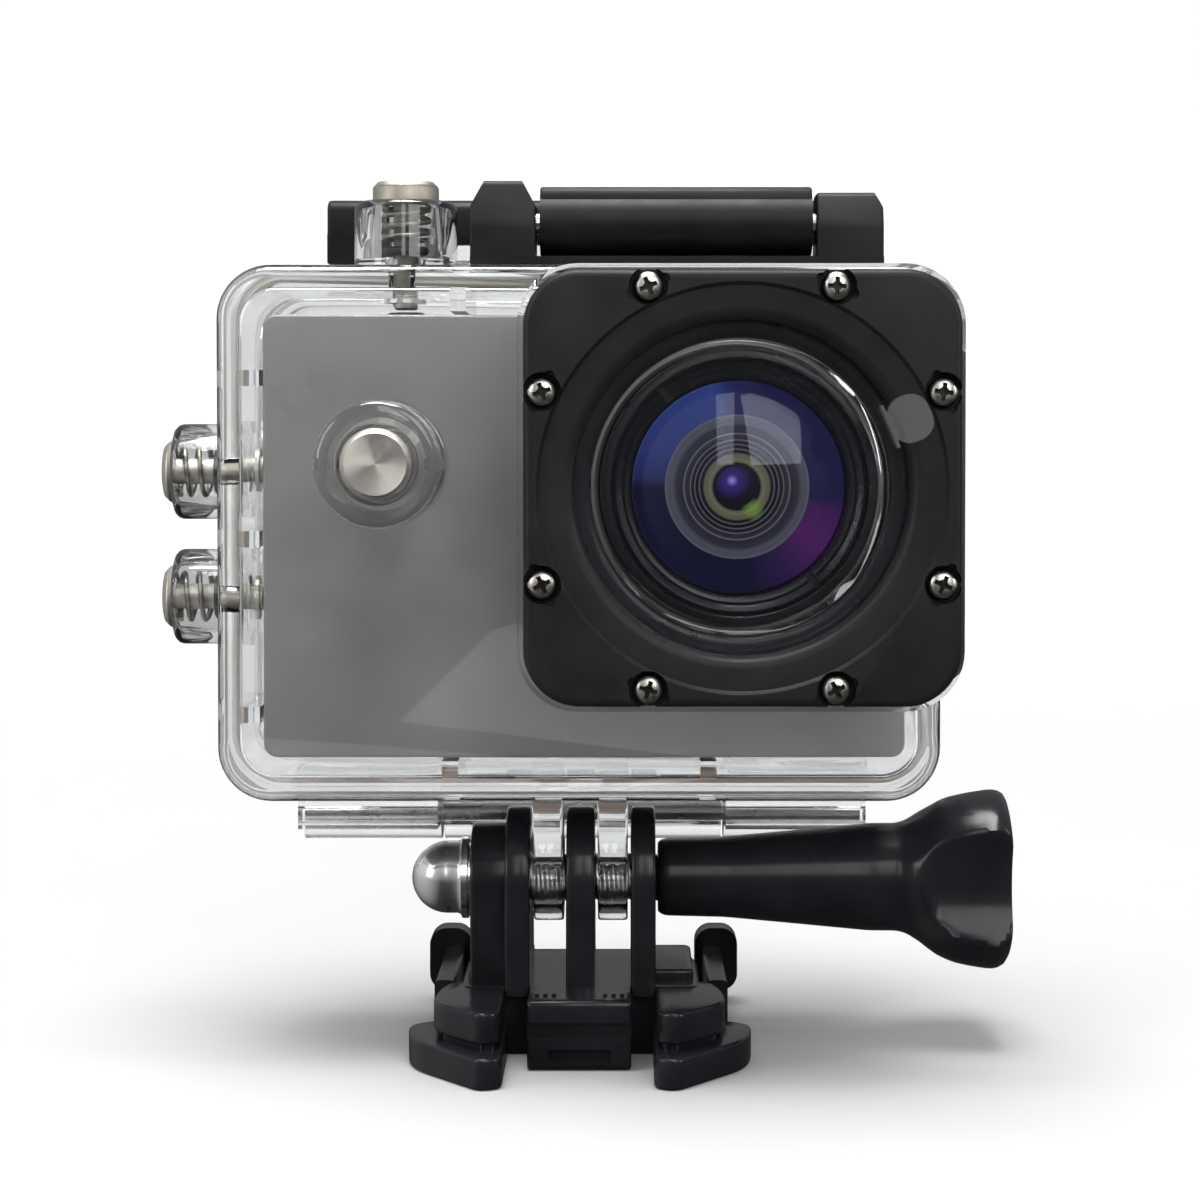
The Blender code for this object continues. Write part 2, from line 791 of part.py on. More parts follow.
def lens_parts():
    centre = (PORT_X, PORT_Z)
    barrel_profile = [
        (12.2, 18.5),
        (BARREL_R, 18.1),
        (BARREL_R, 8.6),
        (10.6, 8.6),
        (10.6, 0.6),
        (4.6, 0.6),
        (4.6, 5.2),
        (6.1, 5.2),
        (6.1, 12.0),
        (10.0, 13.6),
        (10.0, 16.6),
        (11.7, 16.6),
        (11.7, 18.5),
    ]
    barrel = turned(
        "lens_barrel", "-Y", centre, barrel_profile, "satin_black", closed=True, steps=36
    )
    retainer = ring(
        "lens_retaining_ring", "-Y", centre, 9.9, 11.4, (16.9, 18.1), "black", 32
    )
    dome = [(0.0, 18.2)]
    for i in range(1, 5):
        r = 9.6 * i / 4
        dome.append((r, 18.2 - 2.0 * (r / 9.6) ** 2))
    dome += [(9.6, 14.6), (0.0, 14.6)]
    front = turned("front_lens", "-Y", centre, dome, "glass", steps=32)
    middle = rod("middle_lens", "-Y", centre, 5.8, (8.0, 11.0), "glass", 28)
    rear = rod("rear_lens", "-Y", centre, 4.3, (2.0, 4.6), "glass", 24)
    for obj in (barrel, retainer, front, middle, rear):
        smooth(obj)
    return [barrel, retainer, front, middle, rear]


def camera_inside():
    sensor_x = (PORT_X - 7.0, PORT_X + 7.0)
    sensor_z = (PORT_Z - 6.0, PORT_Z + 6.0)
    return [
        box("image_sensor", sensor_x, (-0.3, 2.0), sensor_z, "black"),
        box("main_board", (-26.0, 28.0), (2.3, 3.9), (32.0, 67.0), "board"),
        box("battery", (-24.5, 0.5), (-8.5, 1.5), (31.3, 52.5), "face"),
        box("battery_door", (-24.8, 0.8), (-8.5, 1.5), (29.1, 30.3), "satin_black"),
        box("lcd_screen", (-21.7, 23.7), (9.9, 10.5), (34.3, 64.7), "glass"),
    ]


# ---------------------------------------------------------------- buckle


def prong(name, x):
    points = [(-7.4, 5.8), (-PRONG_R, PIVOT_Z)]
    points += arc((0.0, PIVOT_Z), PRONG_R, 180, 0, 14)[1:]
    points += [(7.4, 5.8)]
    return outline(name, "X", points, x)


def nut_boss():
    """Boss on the left prong, with a web down to the deck."""
    points = [(-4.0, 5.8), (-BOSS_R, PIVOT_Z)]
    points += arc((0.0, PIVOT_Z), BOSS_R, 180, 0, 14)[1:]
    points += [(4.0, 5.8)]
    return outline("boss", "X", points, BOSS_X)


def foot(side):
    """Front corner foot, in plan, with a lug on it above a groove."""
    s = side
    plan = [(6.9, -4.0), (6.9, -19.6), (9.0, -20.4), (15.8, -12.0), (16.4, -5.9), (13.0, -4.0)]
    upper = [(7.2, -4.0), (7.2, -16.6), (9.0, -17.6), (13.8, -12.4), (13.4, -6.5), (12.4, -3.0)]
    neck = [(7.6, -4.0), (7.6, -16.0), (8.8, -16.4), (12.8, -12.0), (12.6, -6.5), (11.8, -3.2)]
    pieces = []
    for name, points, span in (
        ("foot", plan, (0.0, 2.9)),
        ("neck", neck, (2.5, 3.9)),
        ("lug", upper, (3.5, 6.4)),
    ):
        flat = [(s * x, y) for x, y in points]
        if s < 0:
            flat.reverse()
        pieces.append(outline(name, "Z", flat, span))
    return pieces


def buckle_base():
    deck_plan = [
        (-11.4, -6.4),
        (11.4, -6.4),
        (11.5, 6.6),
        (10.3, 12.5),
        (-10.3, 12.5),
        (-11.5, 6.6),
    ]
    base = outline("buckle_base", "Z", deck_plan, (0.0, 6.5), "black")
    join(
        base,
        *foot(1),
        *foot(-1),
        box("block", (-4.85, 4.85), (-12.8, -5.0), (0.01, 6.6)),
        box("pad", (-10.9, 10.9), (-3.6, 9.0), (5.0, 7.6)),
        prong("prong", PRONG_X[0]),
        prong("prong", PRONG_X[1]),
        prong("prong", PRONG_X[2]),
        nut_boss(),
    )
    cut(
        base,
        box("step", (-6.0, 6.0), (-14.0, -12.2), (3.0, 4.5)),
        box("recess", (-2.9, 2.9), (-14.0, -12.1), (0.6, 2.0)),
        box("slot", (1.35, 4.85), (-9.0, 9.1), (6.5, 9.0)),
        box("slot", (-4.85, -1.35), (-9.0, 9.1), (6.5, 9.0)),
        rod("pivot", "+X", (0.0, PIVOT_Z), PIVOT_HOLE_R, (-8.0, 20.0), segments=24),
        rod("hex", "-X", (0.0, PIVOT_Z), 4.15, (7.3, 12.0), segments=6),
    )
    smooth(base)
    return base


def release_arm(side):
    """Spring arm with a squeeze ear, on one side of the deck."""
    s = side
    name = "release_arm_right" if s > 0 else "release_arm_left"

    def span(a, b):
        return (s * a, s * b) if s > 0 else (s * b, s * a)

    arm = box(name, span(12.3, 14.3), (-0.8, 17.0), (1.4, 6.0), "black", 0.8, 2, 2)
    ear = box("ear", span(11.6, 16.0), (16.0, 20.0), (1.41, 7.9), None, 1.2, 0, 3)
    join(arm, ear)
    smooth(arm)
    return arm


def acorn_nut():
    profile = [(0.0, 16.5)]
    for i in range(1, 6):
        angle = math.radians(90 - 18 * i)
        profile.append((3.5 * math.cos(angle), 13.0 + 3.5 * math.sin(angle)))
    profile += [(3.5, 11.9), (4.0, 11.6), (4.0, 10.9), (3.3, 10.9), (3.3, 10.0), (0.0, 10.0)]
    nut = turned("acorn_nut", "-X", (0.0, PIVOT_Z), profile, "chrome", steps=24)
    join(nut, rod("hex", "-X", (0.0, PIVOT_Z), 3.85, (7.6, 10.6), segments=6))
    cut(nut, rod("thread", "-X", (0.0, PIVOT_Z), 2.6, (6.0, 14.2), segments=24))
    smooth(nut)
    return nut


def thumbscrew_bolt():
    bolt = rod(
        "thumbscrew_bolt", "+X", (0.0, PIVOT_Z), BOLT_R, (-13.0, 18.0), "steel", 24
    )
    smooth(bolt)
    return bolt


def thumbscrew_handle():
    """Tapered stem that flares to a three-lobed grip."""
    profile = [
        (0.0, GRIP_END),
        (8.0, GRIP_END),
        (GRIP_R, GRIP_END - 0.9),
        (GRIP_R, 39.4),
        (8.5, 36.9),
        (7.6, 34.6),
        (6.2, 32.8),
        (5.2, GRIP_START - 0.3),
        (5.2, 28.0),
        (3.9, 14.0),
        (3.75, HANDLE_START),
        (0.0, HANDLE_START),
    ]
    handle = turned(
        "thumbscrew_handle", "+X", (0.0, PIVOT_Z), profile, "black", steps=36
    )
    for degrees in (0.0, 120.0, 240.0):
        angle = math.radians(degrees)
        y = -14.3 * math.cos(angle)
        z = PIVOT_Z + 14.3 * math.sin(angle)
        cut(handle, rod("dish", "+X", (y, z), 9.0, (30.0, 45.0), segments=32))
    cut(
        handle,
        rod("bore", "+X", (0.0, PIVOT_Z), BOLT_R + GAP, (6.0, 18.4), segments=24),
    )
    smooth(handle)
    return handle


# ---------------------------------------------------------------- assembly


def build_buttons(housing):
    """Four case buttons, each over one of the camera's own buttons."""
    specs = [
        ("mode", "-Y", MODE_AT, 21.3, 19.2, 3.3, 11.9, 15.7, (16.4, 18.9), 2.5, (12.6, 13.1)),
        ("shutter", "+Z", SHUTTER_AT, 83.5, 81.0, 3.2, 71.1, 76.7, (77.4, 80.7), 3.5, (71.9, 72.4)),
        ("up", "-X", (SIDE_Y, UP_Z), 40.2, 38.6, 3.0, 30.2, 34.8, (35.5, 38.3), 2.5, (30.7, 31.2)),
        ("down", "-X", (SIDE_Y, DOWN_Z), 40.2, 38.6, 3.0, 30.2, 34.8, (35.5, 38.3), 2.5, (30.7, 31.2)),
    ]
    keys = [
        ("camera_mode_button", "-Y", MODE_AT, 11.6, 9.0),
        ("camera_shutter_button", "+Z", SHUTTER_AT, 70.8, 67.8),
        ("camera_up_button", "-X", (SIDE_Y, UP_Z), 29.9, 26.9),
        ("camera_down_button", "-X", (SIDE_Y, DOWN_Z), 29.9, 26.9),
    ]
    for spec, key in zip(specs, keys):
        plunger, holder, coil, ring_seal = push_button(*spec)
        carry(housing, coil, ring_seal)
        base = base_point(spec[1], *spec[2]) / MM
        guide = moving(spec[0] + "_axis", (base.x, base.y, base.z), housing)
        carry(guide, plunger, holder)
        inner = moving(key[0] + "_axis", (base.x, base.y, base.z), housing)
        carry(inner, camera_button(*key))


def moving(name, at, parent=None):
    PLACES[name] = tuple(c * MM for c in at)
    return joint_empty(name, *at, parent=parent)


def build():
    base = moving("buckle", (0.0, 0.0, 0.0))
    carry(base, buckle_base(), acorn_nut())
    for side, label in ((1, "right"), (-1, "left")):
        arm = moving("release_%s_axis" % label, (side * 13.3, 0.0, 3.7), base)
        carry(arm, release_arm(side))
    screw = moving("thumbscrew_axis", (0.0, 0.0, PIVOT_Z), base)
    carry(screw, thumbscrew_bolt(), thumbscrew_handle())
    housing = moving("tilt_axis", (0.0, 0.0, PIVOT_Z), base)
    carry(housing, front_shell(), door_hinge_pin(), latch_bracket(), latch_pin())
    carry(housing, *port_parts())
    carry(housing, camera_body(), camera_face_plate(), *lens_parts(), *camera_inside())
    door = moving("door_axis", (0.0, DOOR_PIN_Y, DOOR_PIN_Z), housing)
    carry(door, back_door(), door_gasket())
    latch = moving("latch_axis", (0.0, LATCH_PIN_Y, LATCH_PIN_Z), housing)
    carry(latch, latch_flap())
    build_buttons(housing)


clear_scene()
PARTS = make_collection("action_camera")
TOOLS = make_collection("cutters")
MATERIALS = {name: make_material(name) for name in PALETTE}
PLACES = {}
build()
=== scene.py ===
import json
import math

import bmesh
import bpy
from mathutils import Matrix, Vector


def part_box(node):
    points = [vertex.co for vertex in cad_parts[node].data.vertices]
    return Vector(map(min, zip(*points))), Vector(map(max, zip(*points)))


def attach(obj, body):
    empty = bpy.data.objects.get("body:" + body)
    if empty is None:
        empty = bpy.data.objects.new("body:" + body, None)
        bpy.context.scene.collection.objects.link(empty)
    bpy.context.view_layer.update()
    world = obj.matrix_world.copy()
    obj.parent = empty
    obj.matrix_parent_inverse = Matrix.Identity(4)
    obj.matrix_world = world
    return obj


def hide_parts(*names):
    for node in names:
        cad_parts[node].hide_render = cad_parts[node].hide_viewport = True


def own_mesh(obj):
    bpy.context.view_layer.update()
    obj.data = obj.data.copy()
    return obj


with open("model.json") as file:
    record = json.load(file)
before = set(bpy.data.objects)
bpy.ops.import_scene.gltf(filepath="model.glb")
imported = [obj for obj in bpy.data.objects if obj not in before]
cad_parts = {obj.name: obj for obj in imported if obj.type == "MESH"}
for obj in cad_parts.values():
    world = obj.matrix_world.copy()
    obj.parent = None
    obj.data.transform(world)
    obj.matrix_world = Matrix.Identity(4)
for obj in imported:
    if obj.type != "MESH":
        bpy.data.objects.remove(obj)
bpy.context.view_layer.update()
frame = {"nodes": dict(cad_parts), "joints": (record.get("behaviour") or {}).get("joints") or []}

NODES = frame["nodes"]
JOINTS = {j["name"]: j for j in frame["joints"]}
MM = 0.001


def mm_box(node):
    low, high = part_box(node)
    return [c / MM for c in low], [c / MM for c in high]


def middle(node, axis):
    low, high = mm_box(node)
    return (low[axis] + high[axis]) / 2


# Places read from the frame, in millimetres
PORT = (middle("lens_bezel", 0), middle("lens_bezel", 2))
PIVOT_Z = JOINTS["tilt"]["pos_m"][2] / MM
LATCH_PIN = tuple(c / MM for c in JOINTS["latch_swing"]["pos_m"][1:])
DOOR_PIN = tuple(c / MM for c in JOINTS["door_swing"]["pos_m"][1:])
MODE_AT = (middle("mode_plunger", 0), middle("mode_plunger", 2))
SHUTTER_AT = (middle("shutter_plunger", 0), middle("shutter_plunger", 1))
UP_AT = (middle("up_plunger", 1), middle("up_plunger", 2))
DOWN_AT = (middle("down_plunger", 1), middle("down_plunger", 2))
PLATE = mm_box("camera_face_plate")
BEZEL = mm_box("lens_bezel")
LATCH = mm_box("latch_flap")
BRACKET = mm_box("latch_bracket")
HANDLE = mm_box("thumbscrew_handle")

CASE_X, CASE_Y, CASE_Z = 33.5, (-13.3, 7.7), (25.1, 74.8)
CAVITY_X, CAVITY_Z = 31.5, (27.2, 72.7)
FLANGE_X, FLANGE_Y, FLANGE_Z = 34.8, 3.5, (24.4, 75.9)
PORT_HALF, PORT_FRONT = 20.0, 20.7
HINGE_X = (14.0, 14.3, 28.2)
FINGER_X = (1.65, 4.55)
FINGER_R = 4.2
PRONG_R = 6.9
BOSS_R = 5.35
PIVOT_HOLE_R = 2.7
DOOR_HOLE_R = 1.05
LATCH_HOLE_R = 1.15
STEM_HOLE_R = 1.32
RIB = 0.75
# Each button's axis and place, its boss (radius, start, end), its well (radius, floor,
# mouth, flare) and the span of its stem hole
SIDE_BOSS = ((4.6, 32.8, 39.2), (3.3, 34.1, 39.2, 0.5), (31.0, 34.6))
BOSSES = (
    ("-Y", MODE_AT, (5.8, 12.6, 20.0), (3.6, 15.0, 20.0, 1.0), (12.9, 15.5)),
    ("+Z", SHUTTER_AT, (5.0, 74.0, 81.6), (3.5, 76.0, 81.6, 0.5), (72.0, 76.5)),
    ("-X", UP_AT, *SIDE_BOSS),
    ("-X", DOWN_AT, *SIDE_BOSS),
)
# The grip's three scoops: radius, distance of their axes, and where they start
SCOOP_R, SCOOP_OUT, SCOOP_FROM = 9.0, 14.3, 30.0
# Left edges of the fine lines on the buckle's front block
GRIP_LINES = (-4.2, -3.4, -2.6, 2.2, 3.0, 3.8)
# A tool this long cuts through the whole object along X
ACROSS = (-40, 40)
# Radians of the turning marks per metre of radius
TURNING_MARKS = 30000.0

WORK = bpy.data.collections.new("camera_pieces")
bpy.context.scene.collection.children.link(WORK)


# ---------------- mesh helpers


def link(name, bm):
    bmesh.ops.recalc_face_normals(bm, faces=bm.faces)
    mesh = bpy.data.meshes.new(name)
    bm.to_mesh(mesh)
    bm.free()
    obj = bpy.data.objects.new(name, mesh)
    WORK.objects.link(obj)
    return obj


def bake(obj):
    """Apply the modifiers of an object to its mesh."""
    bpy.context.view_layer.update()
    graph = bpy.context.evaluated_depsgraph_get()
    mesh = bpy.data.meshes.new_from_object(obj.evaluated_get(graph))
    obj.modifiers.clear()
    old = obj.data
    obj.data = mesh
    bpy.data.meshes.remove(old)
    return obj


def boolean(obj, tools, operation):
    for tool in tools:
        modifier = obj.modifiers.new("bool", "BOOLEAN")
        modifier.operation = operation
        modifier.solver = "MANIFOLD"
        modifier.object = tool
    bake(obj)
    for tool in tools:
        mesh = tool.data
        bpy.data.objects.remove(tool)
        bpy.data.meshes.remove(mesh)
    return obj


def join(obj, *tools):
    return boolean(obj, tools, "UNION")


def cut(obj, *tools):
    return boolean(obj, tools, "DIFFERENCE")


def smooth(obj, degrees=32):
    obj.data.shade_smooth()
    obj.data.set_sharp_from_angle(angle=math.radians(degrees))
    return obj


def parallel(edge, axis):
    a, b = (v.co for v in edge.verts)
    return abs((a - b).normalized()[axis]) > 0.999


def lies_on(edge, axis, level):
    return all(abs(v.co[axis] - level) < 1e-7 for v in edge.verts)


def soften(bm, edges, offset, steps):
    bmesh.ops.bevel(
        bm, geom=edges, offset=offset * MM, segments=steps, profile=0.5, affect="EDGES"
    )


def rbox(x, y, z, radius=0.0, axis=1, steps=8, soft=0.0, ends=(-1, 1), soft_steps=4):
    """A box with its edges along one axis rounded, and the rims of its ends softened."""
    bm = bmesh.new()
    bmesh.ops.create_cube(bm, size=1.0)
    size = Vector((x[1] - x[0], y[1] - y[0], z[1] - z[0])) * MM
    centre = Vector((x[1] + x[0], y[1] + y[0], z[1] + z[0])) * MM / 2
    bmesh.ops.scale(bm, vec=size, verts=bm.verts)
    bmesh.ops.translate(bm, vec=centre, verts=bm.verts)
    if radius:
        soften(bm, [e for e in bm.edges if parallel(e, axis)], radius, steps)
    if soft:
        edges = []
        for end in ends:
            limit = centre[axis] + end * size[axis] / 2
            edges += [e for e in bm.edges if lies_on(e, axis, limit)]
        soften(bm, edges, soft, soft_steps)
    return link("box", bm)


TURN = {
    "+X": Matrix.Rotation(math.radians(90), 4, "Y"),
    "-X": Matrix.Rotation(math.radians(-90), 4, "Y"),
    "-Y": Matrix.Rotation(math.radians(90), 4, "X"),
    "+Y": Matrix.Rotation(math.radians(-90), 4, "X"),
    "+Z": Matrix.Identity(4),
}


def at_axis(axis, at):
    """Matrix from a local frame with its Z along the axis to the row frame."""
    a, b = at
    place = {"X": (0.0, a, b), "Y": (a, 0.0, b), "Z": (a, b, 0.0)}[axis[1]]
    return Matrix.Translation(Vector(place) * MM) @ TURN[axis]


def rod(axis, at, r, span, segments=48):
    bm = bmesh.new()
    bmesh.ops.create_cone(
        bm, cap_ends=True, segments=segments, radius1=r * MM, radius2=r * MM,
        depth=(span[1] - span[0]) * MM,
    )
    bmesh.ops.translate(bm, vec=(0, 0, (span[0] + span[1]) * MM / 2), verts=bm.verts)
    bmesh.ops.transform(bm, matrix=at_axis(axis, at), verts=bm.verts)
    return link("rod", bm)


def turned(axis, at, profile, closed=False, steps=96):
    """Turn a (radius, height) profile into a solid about an axis."""
    bm = bmesh.new()
    rings = []
    for r, h in profile:
        if r < 1e-6:
            rings.append([bm.verts.new((0.0, 0.0, h * MM))])
            continue
        ring = []
        for i in range(steps):
            a = math.tau * i / steps
            ring.append(bm.verts.new((r * MM * math.cos(a), r * MM * math.sin(a), h * MM)))
        rings.append(ring)
    pairs = list(zip(rings, rings[1:]))
    if closed:
        pairs.append((rings[-1], rings[0]))
    for one, two in pairs:
        for i in range(steps):
            j = (i + 1) % steps
            if len(one) == 1 and len(two) == 1:
                break
            if len(one) == 1:
                bm.faces.new((one[0], two[i], two[j]))
            elif len(two) == 1:
                bm.faces.new((one[i], one[j], two[0]))
            else:
                bm.faces.new((one[i], one[j], two[j], two[i]))
    bmesh.ops.transform(bm, matrix=at_axis(axis, at), verts=bm.verts)
    return link("turned", bm)


def rounded_profile(points, radius, steps=4, closed=False):
    """Round the corners of a profile, each by up to the given radius."""
    out = []
    count = len(points)
    for i, point in enumerate(points):
        if not closed and i in (0, count - 1):
            out.append(point)
            continue
        p = Vector(point)
        a = Vector(points[i - 1]) - p
        b = Vector(points[(i + 1) % count]) - p
        reach = min(radius, a.length * 0.45, b.length * 0.45)
        start, end = p + a.normalized() * reach, p + b.normalized() * reach
        for k in range(steps + 1):
            t = k / steps
            q = (1 - t) ** 2 * start + 2 * t * (1 - t) * p + t * t * end
            out.append((q.x, q.y))
    return out


def outline(axis, points, span, radius=0.0, steps=4, soft=0.0, ends=(0, 1)):
    """Extrude a flat outline of the other two coordinates along an axis, with soft rims."""
    if radius:
        points = rounded_profile(points, radius, steps, closed=True)
    bm = bmesh.new()
    low, high = span
    lay = "XYZ".index(axis)
    shift = [0.0, 0.0, 0.0]
    shift[lay] = (high - low) * MM
    bottom = []
    for a, b in points:
        spot = [a * MM, b * MM]
        spot.insert(lay, low * MM)
        bottom.append(bm.verts.new(spot))
    face = bm.faces.new(bottom)
    grown = bmesh.ops.extrude_face_region(bm, geom=[face])
    verts = [v for v in grown["geom"] if isinstance(v, bmesh.types.BMVert)]
    bmesh.ops.translate(bm, vec=shift, verts=verts)
    if soft:
        rims = [(low, high)[end] * MM for end in ends]
        edges = [e for e in bm.edges if any(lies_on(e, lay, rim) for rim in rims)]
        soften(bm, edges, soft, 3)
    return link("outline", bm)


def loft(rings, caps=True):
    """A skin over rings of points with equal counts, closed by end faces."""
    bm = bmesh.new()
    rows = [[bm.verts.new(Vector(p) * MM) for p in ring] for ring in rings]
    for one, two in zip(rows, rows[1:]):
        count = len(one)
        for i in range(count):
            j = (i + 1) % count
            bm.faces.new((one[i], one[j], two[j], two[i]))
    if caps:
        bm.faces.new(rows[0])
        bm.faces.new(rows[-1])
    return link("loft", bm)


def arc(centre, r, start, end, count):
    out = []
    for i in range(count + 1):
        a = math.radians(start + (end - start) * i / count)
        out.append((centre[0] + r * math.cos(a), centre[1] + r * math.sin(a)))
    return out


def place(obj, name, body, material, node):
    """Name a finished piece, paint it, and let it ride on its body."""
    obj.name = name
    obj.data.materials.clear()
    obj.data.materials.append(material)
    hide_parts(node)
    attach(obj, body)


# ---------------- materials


class Graph:
    """Short ways to add nodes to a shader tree."""

    def __init__(self, tree):
        self.tree = tree

    def feed(self, slot, value):
        """Wire a socket into a slot, set a value there, or leave it when None."""
        if isinstance(value, bpy.types.NodeSocket):
            self.tree.links.new(value, slot)
        elif value is not None:
            slot.default_value = value

    def node(self, kind, *inputs, **settings):
        made = self.tree.nodes.new("ShaderNode" + kind)
        for key, value in settings.items():
            setattr(made, key, value)
        for slot, value in zip(made.inputs, inputs):
            self.feed(slot, value)
        return made

    def math(self, operation, a, b=None, clamp=False):
        return self.node("Math", a, b, operation=operation, use_clamp=clamp).outputs[0]

    def vector(self, operation, a, b=None):
        return self.node("VectorMath", a, b, operation=operation)

    def split(self, vector):
        return self.node("SeparateXYZ", vector).outputs

    def remap(self, value, low, high, start=0.3, stop=0.7):
        """Spread the part of a value from start to stop over low to high."""
        return self.node("MapRange", value, start, stop, low, high).outputs["Result"]

    def mix(self, share, one, two):
        made = self.node("Mix", share, data_type="RGBA")
        self.feed(made.inputs[6], one)
        self.feed(made.inputs[7], two)
        return made.outputs[2]

    def ramp(self, value, stops):
        made = self.node("ValToRGB", value)
        band = made.color_ramp.elements
        while len(band) < len(stops):
            band.new(0.5)
        for element, (position, colour) in zip(band, stops):
            element.position = position
            element.color = (*colour, 1.0)
        return made.outputs["Color"]


class Paint(Graph):
    """A procedural material, built round one Principled shader."""

    def __init__(self, name, **values):
        self.material = bpy.data.materials.new(name)
        self.material.use_nodes = True
        super().__init__(self.material.node_tree)
        self.shader = self.tree.nodes["Principled BSDF"]
        self.coord = self.node("TexCoord").outputs["Object"]
        self.set(**values)

    def set(self, **values):
        """Set or wire inputs of the Principled shader, by name."""
        for key, value in values.items():
            self.feed(self.shader.inputs[key.replace("_", " ")], value)
        return self

    def noise(self, size, detail=3.0, rough=0.5):
        """Noise whose features are about size millimetres across."""
        made = self.node("TexNoise", self.coord)
        for key, value in (("Scale", 1.0 / (size * MM)), ("Detail", detail), ("Roughness", rough)):
            made.inputs[key].default_value = value
        return made.outputs["Fac"]

    def colour(self, value, low, high):
        return self.set(Base_Color=self.ramp(value, ((0.3, low), (0.7, high))))

    def roughness(self, value, low, high):
        return self.set(Roughness=self.remap(value, low, high))

    def bump(self, value, strength, depth):
        """Raise the surface by a value, depth millimetres at most."""
        made = self.node("Bump")
        for key, value in (("Strength", strength), ("Distance", depth * MM), ("Height", value)):
            self.feed(made.inputs[key], value)
        return self.set(Normal=made.outputs["Normal"])

    def off_axis(self, axis, at):
        """Distance from an axis, and the plane vector it was measured in."""
        keep = [0.0 if letter == axis else 1.0 for letter in "XYZ"]
        shift = self.vector("SUBTRACT", self.coord, Vector(at) * MM).outputs[0]
        flat = self.vector("MULTIPLY", shift, keep).outputs[0]
        return self.vector("LENGTH", flat).outputs["Value"], flat

    def boss(self, tone, axis, at, radius, deep):
        """Deepen a colour inside a cylinder about an axis, as painted shade."""
        distance = self.off_axis(axis, at)[0]
        inside = self.remap(distance, 1.0, 0.0, (radius - 0.1) * MM, (radius + 0.3) * MM)
        return self.mix(inside, tone, (*deep, 1.0))

    def glow(self, tone, strength):
        """Use a colour for the surface and, weakly, for its own light."""
        return self.set(Base_Color=tone, Emission_Color=tone, Emission_Strength=strength)

    def passing(self, *colour):
        return self.node("BsdfTransparent", (*colour, 1.0)).outputs[0]

    def surface(self, share, one, two):
        """Send a blend of two shaders to the output."""
        blend = self.node("MixShader", share, one, two)
        self.feed(self.tree.nodes["Material Output"].inputs["Surface"], blend.outputs[0])
        return self.material


def tinted(colour, factor):
    """A colour made lighter or darker, held at white."""
    return tuple(min(1.0, c * factor) for c in colour)


def shade(name, low, high, rough, grain, strength=0.2, depth=0.02, patch=6.0, **values):
    """A moulded or machined surface: patchy colour, uneven gloss and a fine grain."""
    paint = Paint(name, **values)
    paint.colour(paint.noise(patch, 4.0), low, high)
    paint.roughness(paint.noise(patch * 0.4, 5.0), *rough)
    if strength:
        paint.bump(paint.noise(grain, 4.0), strength, depth)
    return paint.material


def clear(name, tint, rough, ior, see, painted_shade_bosses):
    """Clear plastic: refracts what is seen, and lets light in to what it covers. Painted shade
    darkens its tint inside the button bosses.
    """
    paint = Paint(name, Transmission_Weight=1.0, IOR=ior)
    tone = paint.ramp(paint.noise(9.0, 3.0), ((0.3, tint), (0.7, tinted(tint, 1.03))))
    for axis, at, radius in painted_shade_bosses:
        # painted shade: the tint is darkened to 0.78 inside each button boss
        tone = paint.boss(tone, axis, at, radius, tinted(tint, 0.78))
    paint.set(Base_Color=tone)
    paint.roughness(paint.noise(1.6, 6.0, rough=0.7), *rough)
    paint.bump(paint.noise(6.0, 2.0), 0.04, 0.02)
    rays = paint.node("LightPath").outputs
    either = paint.math("MAXIMUM", rays["Is Shadow Ray"], rays["Is Diffuse Ray"])
    return paint.surface(either, paint.shader.outputs[0], paint.passing(see, see, see))


def sheet(name, shine, through, ior=1.45, rough=(0.0, 0.01), gain=1.0, milk=None):
    """Thin clear sheet: mirrors by angle and otherwise lets everything through.
    Milk is the cover of the film's tab, which stands forward of the window."""
    paint = Paint(name, Metallic=1.0 if milk is None else 0.0)
    paint.colour(paint.noise(5.0), shine, tinted(shine, 1.04))
    paint.roughness(paint.noise(1.2, 5.0), *rough)
    amount = paint.math("MULTIPLY", paint.node("Fresnel", ior).outputs[0], gain, clamp=True)
    if milk is not None:
        tab = paint.remap(paint.split(paint.coord)["Y"], milk, 0.0, -0.0240, -0.0215)
        amount = paint.math("ADD", amount, tab, clamp=True)
    return paint.surface(amount, paint.passing(*through), paint.shader.outputs[0])


def spun_metal(name, axis, centre, tone=(0.60, 0.57, 0.52)):
    """Lathe-faced steel: fine rings and a radial sheen about an axis."""
    paint = Paint(name, Metallic=1.0, Anisotropic=0.8)
    rings = paint.math("MULTIPLY", paint.off_axis(axis, centre)[0], TURNING_MARKS)
    paint.colour(paint.noise(2.0), tone, tuple(c * 1.18 for c in tone))
    paint.roughness(paint.noise(0.7, 5.0), 0.34, 0.46)
    paint.bump(paint.math("SINE", rings), 0.12, 0.01)
    tangent = paint.node("Tangent", direction_type="RADIAL", axis=axis)
    return paint.set(Tangent=tangent.outputs[0]).material


